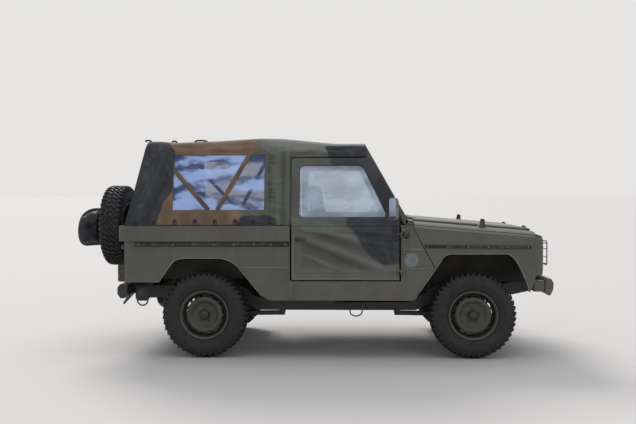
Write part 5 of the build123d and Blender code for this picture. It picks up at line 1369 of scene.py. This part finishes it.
# The window frame's outer edge has its points in the same directions from the middle as the inner.
inner_loop = even_loop(rounded_line(window_corners, 0.045, 10, close=True), 220)
outer_edge = even_loop(rounded_line(frame_corners, 0.03, 8, close=True), 2000)
middle = inner_loop.mean(axis=0)
inner_angle, outer_angle = (np.arctan2(*(loop - middle).T[::-1]) for loop in (inner_loop, outer_edge))
order = np.argsort(outer_angle)
outer_loop = np.stack([np.interp(inner_angle, outer_angle[order], outer_edge[order, k], period=2 * np.pi)
                       for k in (0, 1)], axis=1)

# The steel frame behind the canvas, drawn for the left door.
bar_loop = rounded_line(bar_line, 0.035, 6, close=True)
bar_depth = np.where(bar_loop[:, 1] > lean_foot, side_reach(bar_loop[:, 1]) - 0.012, 0.834)
bars = [box_part(0.797, 1.734, 0.818, frame_y, 0.712, 1.183),
        tube(np.insert(bar_loop, 1, bar_depth, axis=1), 0.01, up=(0, 1, 0), close=True),
        tube([(0.805, frame_y, middle_bar_z), (1.73, frame_y, middle_bar_z)], 0.0105)]
for z in hinge_heights:
    bars.append(box_part(1.716, hinge_x, mount_y, 0.8575, z - hinge_half, z + hinge_half))
    bars.append(box_part(1.748, hinge_x, mount_y, 0.866, z - hinge_half, z + hinge_half))
    bars.append(turned([(0.0055, -0.013), (0.0098, -0.013), (0.0098, 0.013), (0.0055, 0.013)], 16,
                       (hinge_x, 0.87, z)))

# Handle, mirror arm and mirror head, drawn for the left door.
arm_x, arm_y, arm_mounts = 1.727, 0.904, (1.072, 1.156)
grip_line = [
    (0.845, 0.857, 1.066), (0.847, 0.876, 1.066), (0.868, 0.882, 1.067), (0.905, 0.881, 1.066),
    (0.922, 0.88, 1.064)]
arm_line = [
    (arm_x, arm_y, 1.062), (arm_x, arm_y, 1.2), (arm_x, arm_y, 1.34), (1.716, 0.914, 1.395),
    (1.7, 0.926, 1.405)]
fittings = [turned([(0.0, 0.006), (0.022, 0.006), (0.024, 0.002), (0.024, -0.006)], 24,
                   (0.845, 0.853, 1.066), outward_left),
            tube(flowing(grip_line, 16), 0.0085, 10, squeeze=(1.0, 0.75)),
            tube(flowing(arm_line, 30), 0.0075, 10, up=(1, 0, 0))]
for z in arm_mounts:
    fittings.append(tube([(arm_x, arm_y, z), (arm_x, 0.851, z)], 0.007))
    fittings.append(box_part(1.705, 1.74, mount_y, 0.8555, z - 0.016, z + 0.016))
mirror_turn = np.radians(63)
mirror_place = np.array([1.692, 0.938, 1.3365])
mirror_rows = ((-0.0175, 0.93), (-0.018, 0.985), (-0.013, 1.0), (0.004, 0.97), (0.0135, 0.84),
               (0.0175, 0.6))
mirror_wide = np.array([np.cos(mirror_turn), np.sin(mirror_turn), 0.0])
mirror_thick = np.array([np.sin(mirror_turn), -np.cos(mirror_turn), 0.0])
around = rounded_line([(-0.062, -0.097), (0.062, -0.097), (0.062, 0.097), (-0.062, 0.097)], 0.03, 8,
                      close=True)
around = around[:, :1] * mirror_wide + around[:, 1:] * [0, 0, 1]
count = len(around)
shells = np.stack([mirror_place + size * around + depth * mirror_thick for depth, size in mirror_rows])
head = (from_axle(shells.reshape(-1, 3)), grid_faces(len(mirror_rows), count, False, True).tolist()
        + [list(range(count * (len(mirror_rows) - 1), count * len(mirror_rows)))])
glass = (from_axle([*(mirror_place + 0.93 * around - 0.0172 * mirror_thick),
                    mirror_place - 0.0178 * mirror_thick]),
         [[k, (k + 1) % count, count] for k in range(count)])

for side, word in sides:
    body, frame_node = f"door_{word}", f"door_frame_{word}"
    x, z = np.meshgrid(np.concatenate([[door_rear], np.linspace(door_rear, door_front, 132),
                                       [door_front]]),
                       np.concatenate([[door_foot], np.linspace(door_foot, lean_foot, 70)]))
    push = skin_push(x, z)
    push[:, 0] = push[:, -1] = push[0, :] = -0.02
    skin = grid_piece(f"door_skin_{word}", np.stack([x, side * (body_side - 0.001 + push), z], axis=-1),
                      side > 0)
    door_printed(skin, x, z - lean_foot)
    # The skin's relief is stored as the fold number that sets the painted highlight and shade of its
    # folds.
    stored(skin, fold=np.clip((skin_push(x, z) + 0.004) / 0.009, -1, 1),
           hem=1 - eased(np.minimum(x - door_rear, z - door_foot), 0.014, 0.022))
    clothed(skin, door_canvas, body, "canvas", f"door_{word}")

    ribbon = []
    for way, lift in frame_rows:
        x, z = (inner_loop + (outer_loop - inner_loop) * way).T
        ripple = 0.0012 * swell(x, z, 61, 0.16) * (0.1 < way < 0.9)
        ribbon.append(np.stack([x, side * (side_reach(z) + 0.0045 + lift + ripple), z], axis=1))
    ribbon = np.stack(ribbon)
    cover = grid_piece(f"window_frame_{word}", ribbon, close=True)
    door_printed(cover, ribbon[..., 0], ribbon[..., 2] - lean_foot)
    clothed(thickened(cover, 0.003), door_canvas, body, "canvas")
    across, along = np.diff(ribbon, axis=0)[:, :-1], np.diff(ribbon, axis=1)[:-1]
    cover_area = float(np.linalg.norm(np.cross(across, along), axis=-1).sum())
    dress(frame_node, on_side(bars, side), army_paint, "army_paint", body=body)

    share, z = np.meshgrid(np.linspace(0.0, 1.0, 60), np.linspace(pane_foot, pane_head, 44))
    front = np.interp(z, (pane_foot, pane_head), (1.65, 1.42))
    x = pane_rear + (front - pane_rear) * share
    rim_distance = np.minimum.reduce([x - pane_rear, front - x, z - pane_foot, pane_head - z])
    push = vinyl_slack(x, z, 4.1 + side) * 0.55 * eased(rim_distance, 0.015, 0.07) - 0.006
    pane = side_sheet(f"door_vinyl_{word}", x, z, push, side, side > 0)
    clothed(pane, door_vinyl_painted_sky, body, "clear_vinyl", f"door_pane_{word}")

    dress(f"door_fittings_{word}", on_side(fittings, side), black_moulding, "dark_plastic", body=body)
    dress(f"mirror_shell_{word}", on_side([head], side), mirror_paint, "dark_plastic", f"mirror_{word}",
          body=body)
    dress(f"mirror_glass_{word}", on_side([glass], side), mirror_glass, "mirror_glass", body=body)

# Round side lamps: a black rubber-ringed repeater stands on each side before the door, between two
# short galvanised brackets.
lamp_profile = [(0.0, 0.03), (0.012, 0.029), (0.024, 0.024), (0.03, 0.015), (0.034, 0.01),
                (0.034, -0.002)]
lamps = [turned(lamp_profile, 30, (1.8, body_side, 1.105), outward_left)]
brackets = [box_part(1.768, 1.792, 0.849, 0.856, z - 0.005, z + 0.005) for z in (1.069, 1.15)]
dress("side_repeaters", both_sides(lamps), black_moulding, "dark_plastic")
softened(dress("repeater_brackets", both_sides(brackets), worn_zinc, "steel", smooth=False), 0.001, 1)

# Spare wheel's bag: a black waxed cloth sack strapped on a board behind the spare wheel. It is half
# full, so its upper rear corner has slumped round, its sides hang in folds, and its mouth is tied
# with a flap and two straps.
(rear, right, foot), (front, left, head) = (np.array(corner, float) - from_axle([0.0, 0.0, 0.0])
                                            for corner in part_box("spare_bag"))
bag_middle, bag_half = (right + left) / 2, (left - right) / 2
bag_outline = [
    (front - 0.055, foot + 0.014), (front - 0.05, head - 0.006), (rear + 0.135, head - 0.004),
    (rear + 0.048, head - 0.052), (rear + 0.01, head - 0.16), (rear + 0.014, foot + 0.06),
    (rear + 0.05, foot + 0.004), (rear + 0.15, foot + 0.012)]
round_steps, across_steps = 110, 61
mix = Finish("bag_cloth", roughness=0.6)
shade = mix.mixed(mix.step(mix.mottle(12.0, 6.0), 0.4, 0.7), (0.011, 0.012, 0.016),
                  (0.034, 0.038, 0.045))
mix.relief((mix.mottle(14.0, 4.0, mix.stretched((1.0, 1.0, 0.5))), 0.007),
           (mix.mottle(800.0, 2.0), 0.0004))
bag_cloth = mix.painted(shade)
side_line = rounded_line(bag_outline, 0.05, 12, close=True)
way = np.concatenate([[0], np.cumsum(np.linalg.norm(np.diff(side_line, axis=0), axis=1))])
spots = np.linspace(0, way[-1], round_steps, endpoint=False)
side_line = np.stack([np.interp(spots, way, side_line[:, k]) for k in (0, 1)], axis=1)
middle = side_line.mean(axis=0)
station, spot = np.meshgrid(np.sin(np.linspace(-0.5, 0.5, across_steps) * np.pi), np.arange(round_steps),
                            indexing="ij")
x, z = np.moveaxis(side_line[spot], -1, 0)
shrink = (1 - np.abs(station) ** 5 * 0.16) * (1 - 0.9 * (np.abs(station) > 0.999))
fold = (0.006 * swell(station * 0.2 + x, z, 71, 0.16) +
        0.0045 * swell(station * 0.35, x * 0.6 + z, 72, 0.07) +
        0.006 * np.sin(26 * x + 9 * z + 1.5 * station) * np.abs(station))
outline = middle + (side_line[spot] - middle) * shrink[..., None] + (
    unit(side_line[spot] - middle) * (fold - 0.007)[..., None])
bulge = bag_half - 0.012 - 0.02 * np.clip((z - foot) / (head - foot), 0, 1) ** 2
y = bag_middle + station * bulge + 0.4 * fold * np.sign(station) * (np.abs(station) > 0.8)
faces = grid_faces(across_steps, round_steps, False, True).tolist()
faces += [list(range(round_steps))[::-1],
          list(range((across_steps - 1) * round_steps, across_steps * round_steps))]
bag = mesh_piece("wheel_bag", from_axle(np.insert(outline, 1, y, axis=-1).reshape(-1, 3)), faces)
clothed(bag, bag_cloth, "tailgate", "bag_cover", "spare_bag")
strap_line = middle + (side_line[::2] - middle) * 1.012
parts = [box_part(front - 0.052, front - 0.004, bag_middle - 0.185, bag_middle + 0.185, foot + 0.02,
                  head - 0.016)]
for y in (-0.11, 0.11):
    parts.append(swept(np.insert(strap_line, 1, bag_middle + y, axis=1), bar_ring(0.016, 0.0015),
                       up=(0, 1, 0), close=True))
dress("bag_board_and_straps", parts, black_rubber, "rubber", body="tailgate", smooth=False)

# Studio: a plain pale floor under a sky that is brighter beyond the car, and a sun over its far
# side, so that the roof and hood shine and the near side lies in soft shade. The camera stands on
# the car's right, across from the door's middle and at the height of the windows.
camera_place = (1.27, -7.583, 1.477)
camera_turns = np.radians([2.076, 1.43, -0.174])
lens_mm, film_mm = 43.22, 36.0
floor_reach = 400.0
lamps = [("sun_lamp", (-2.6, 6.0, 5.6), 24, 2.2), ("sky_lamp", (0.5, 0.5, 8.0), 60, 1.2),
         ("front_lamp", (3.5, -8.0, 2.6), 40, 0.25)]  # name, where it shines from, degrees, strength


def added(name, data):
    """Put a lamp or a camera into the scene."""
    made = bpy.data.objects.new(name, data)
    bpy.context.scene.collection.objects.link(made)
    return made


for name, place, spread, strength in lamps:
    light = bpy.data.lights.new(name, "SUN")
    light.angle, light.energy = np.radians(spread), strength
    made = added(name, light)
    made.location = place
    made.rotation_euler = (-Vector(place)).to_track_quat("-Z", "Y").to_euler()
floor = mesh_piece("floor", [(x * floor_reach, y * floor_reach, 0)
                             for x, y in ((-1, -1), (1, -1), (1, 1), (-1, 1))], [[0, 1, 2, 3]])
floor.data.materials.append(Finish("pale_floor", roughness=0.9).painted((0.5, 0.475, 0.45)))

# What the camera, a mirror or a pane sees of the backdrop is one plain pale grey.
world = bpy.data.worlds.new("studio")
bpy.context.scene.world = world
world.use_nodes = True
sky = Nodes(world.node_tree)
direction = sky.node("ShaderNodeTexCoord", "Generated")
beyond = sky.node("ShaderNodeSeparateXYZ", "Y", {"Vector": direction})
brightness = sky.node("ShaderNodeMapRange", "Result", {"Value": beyond, "From Min": -1.0,
                                                       "From Max": 1.0, "To Min": 0.46, "To Max": 0.84})
shining = sky.node("ShaderNodeBackground", "Background",
                   {"Color": (0.84, 0.9, 1.0), "Strength": brightness})
plain = sky.node("ShaderNodeBackground", "Background", {"Color": (0.79, 0.78, 0.77), "Strength": 1.0})
ray = sky.node("ShaderNodeLightPath", "Is Camera Ray").node
seen = ray.outputs["Is Camera Ray"]
for other in ("Is Glossy Ray", "Is Transmission Ray"):
    seen = sky.sum(seen, ray.outputs[other], "MAXIMUM")
backdrop = sky.node("ShaderNodeMixShader", "Shader", {"Fac": seen, 1: shining, 2: plain})
sky.feed(backdrop, world.node_tree.nodes["World Output"].inputs["Surface"])

yaw, pitch, roll = camera_turns
ahead = np.array([-np.sin(yaw) * np.cos(pitch), np.cos(yaw) * np.cos(pitch), -np.sin(pitch)])
level = np.array([np.cos(yaw), np.sin(yaw), 0.0])
upright = np.cross(level, ahead)
lens = bpy.data.cameras.new("photo_camera")
lens.lens, lens.sensor_width = lens_mm, film_mm
camera = added("photo_camera", lens)
pose = np.eye(4)
pose[:3] = np.stack([np.cos(roll) * level + np.sin(roll) * upright,
                     -np.sin(roll) * level + np.cos(roll) * upright, -ahead, from_axle(camera_place)],
                    axis=1)
camera.matrix_world = Matrix(pose.tolist())
bpy.context.scene.camera = camera
bpy.context.scene.view_settings.view_transform = "Standard"
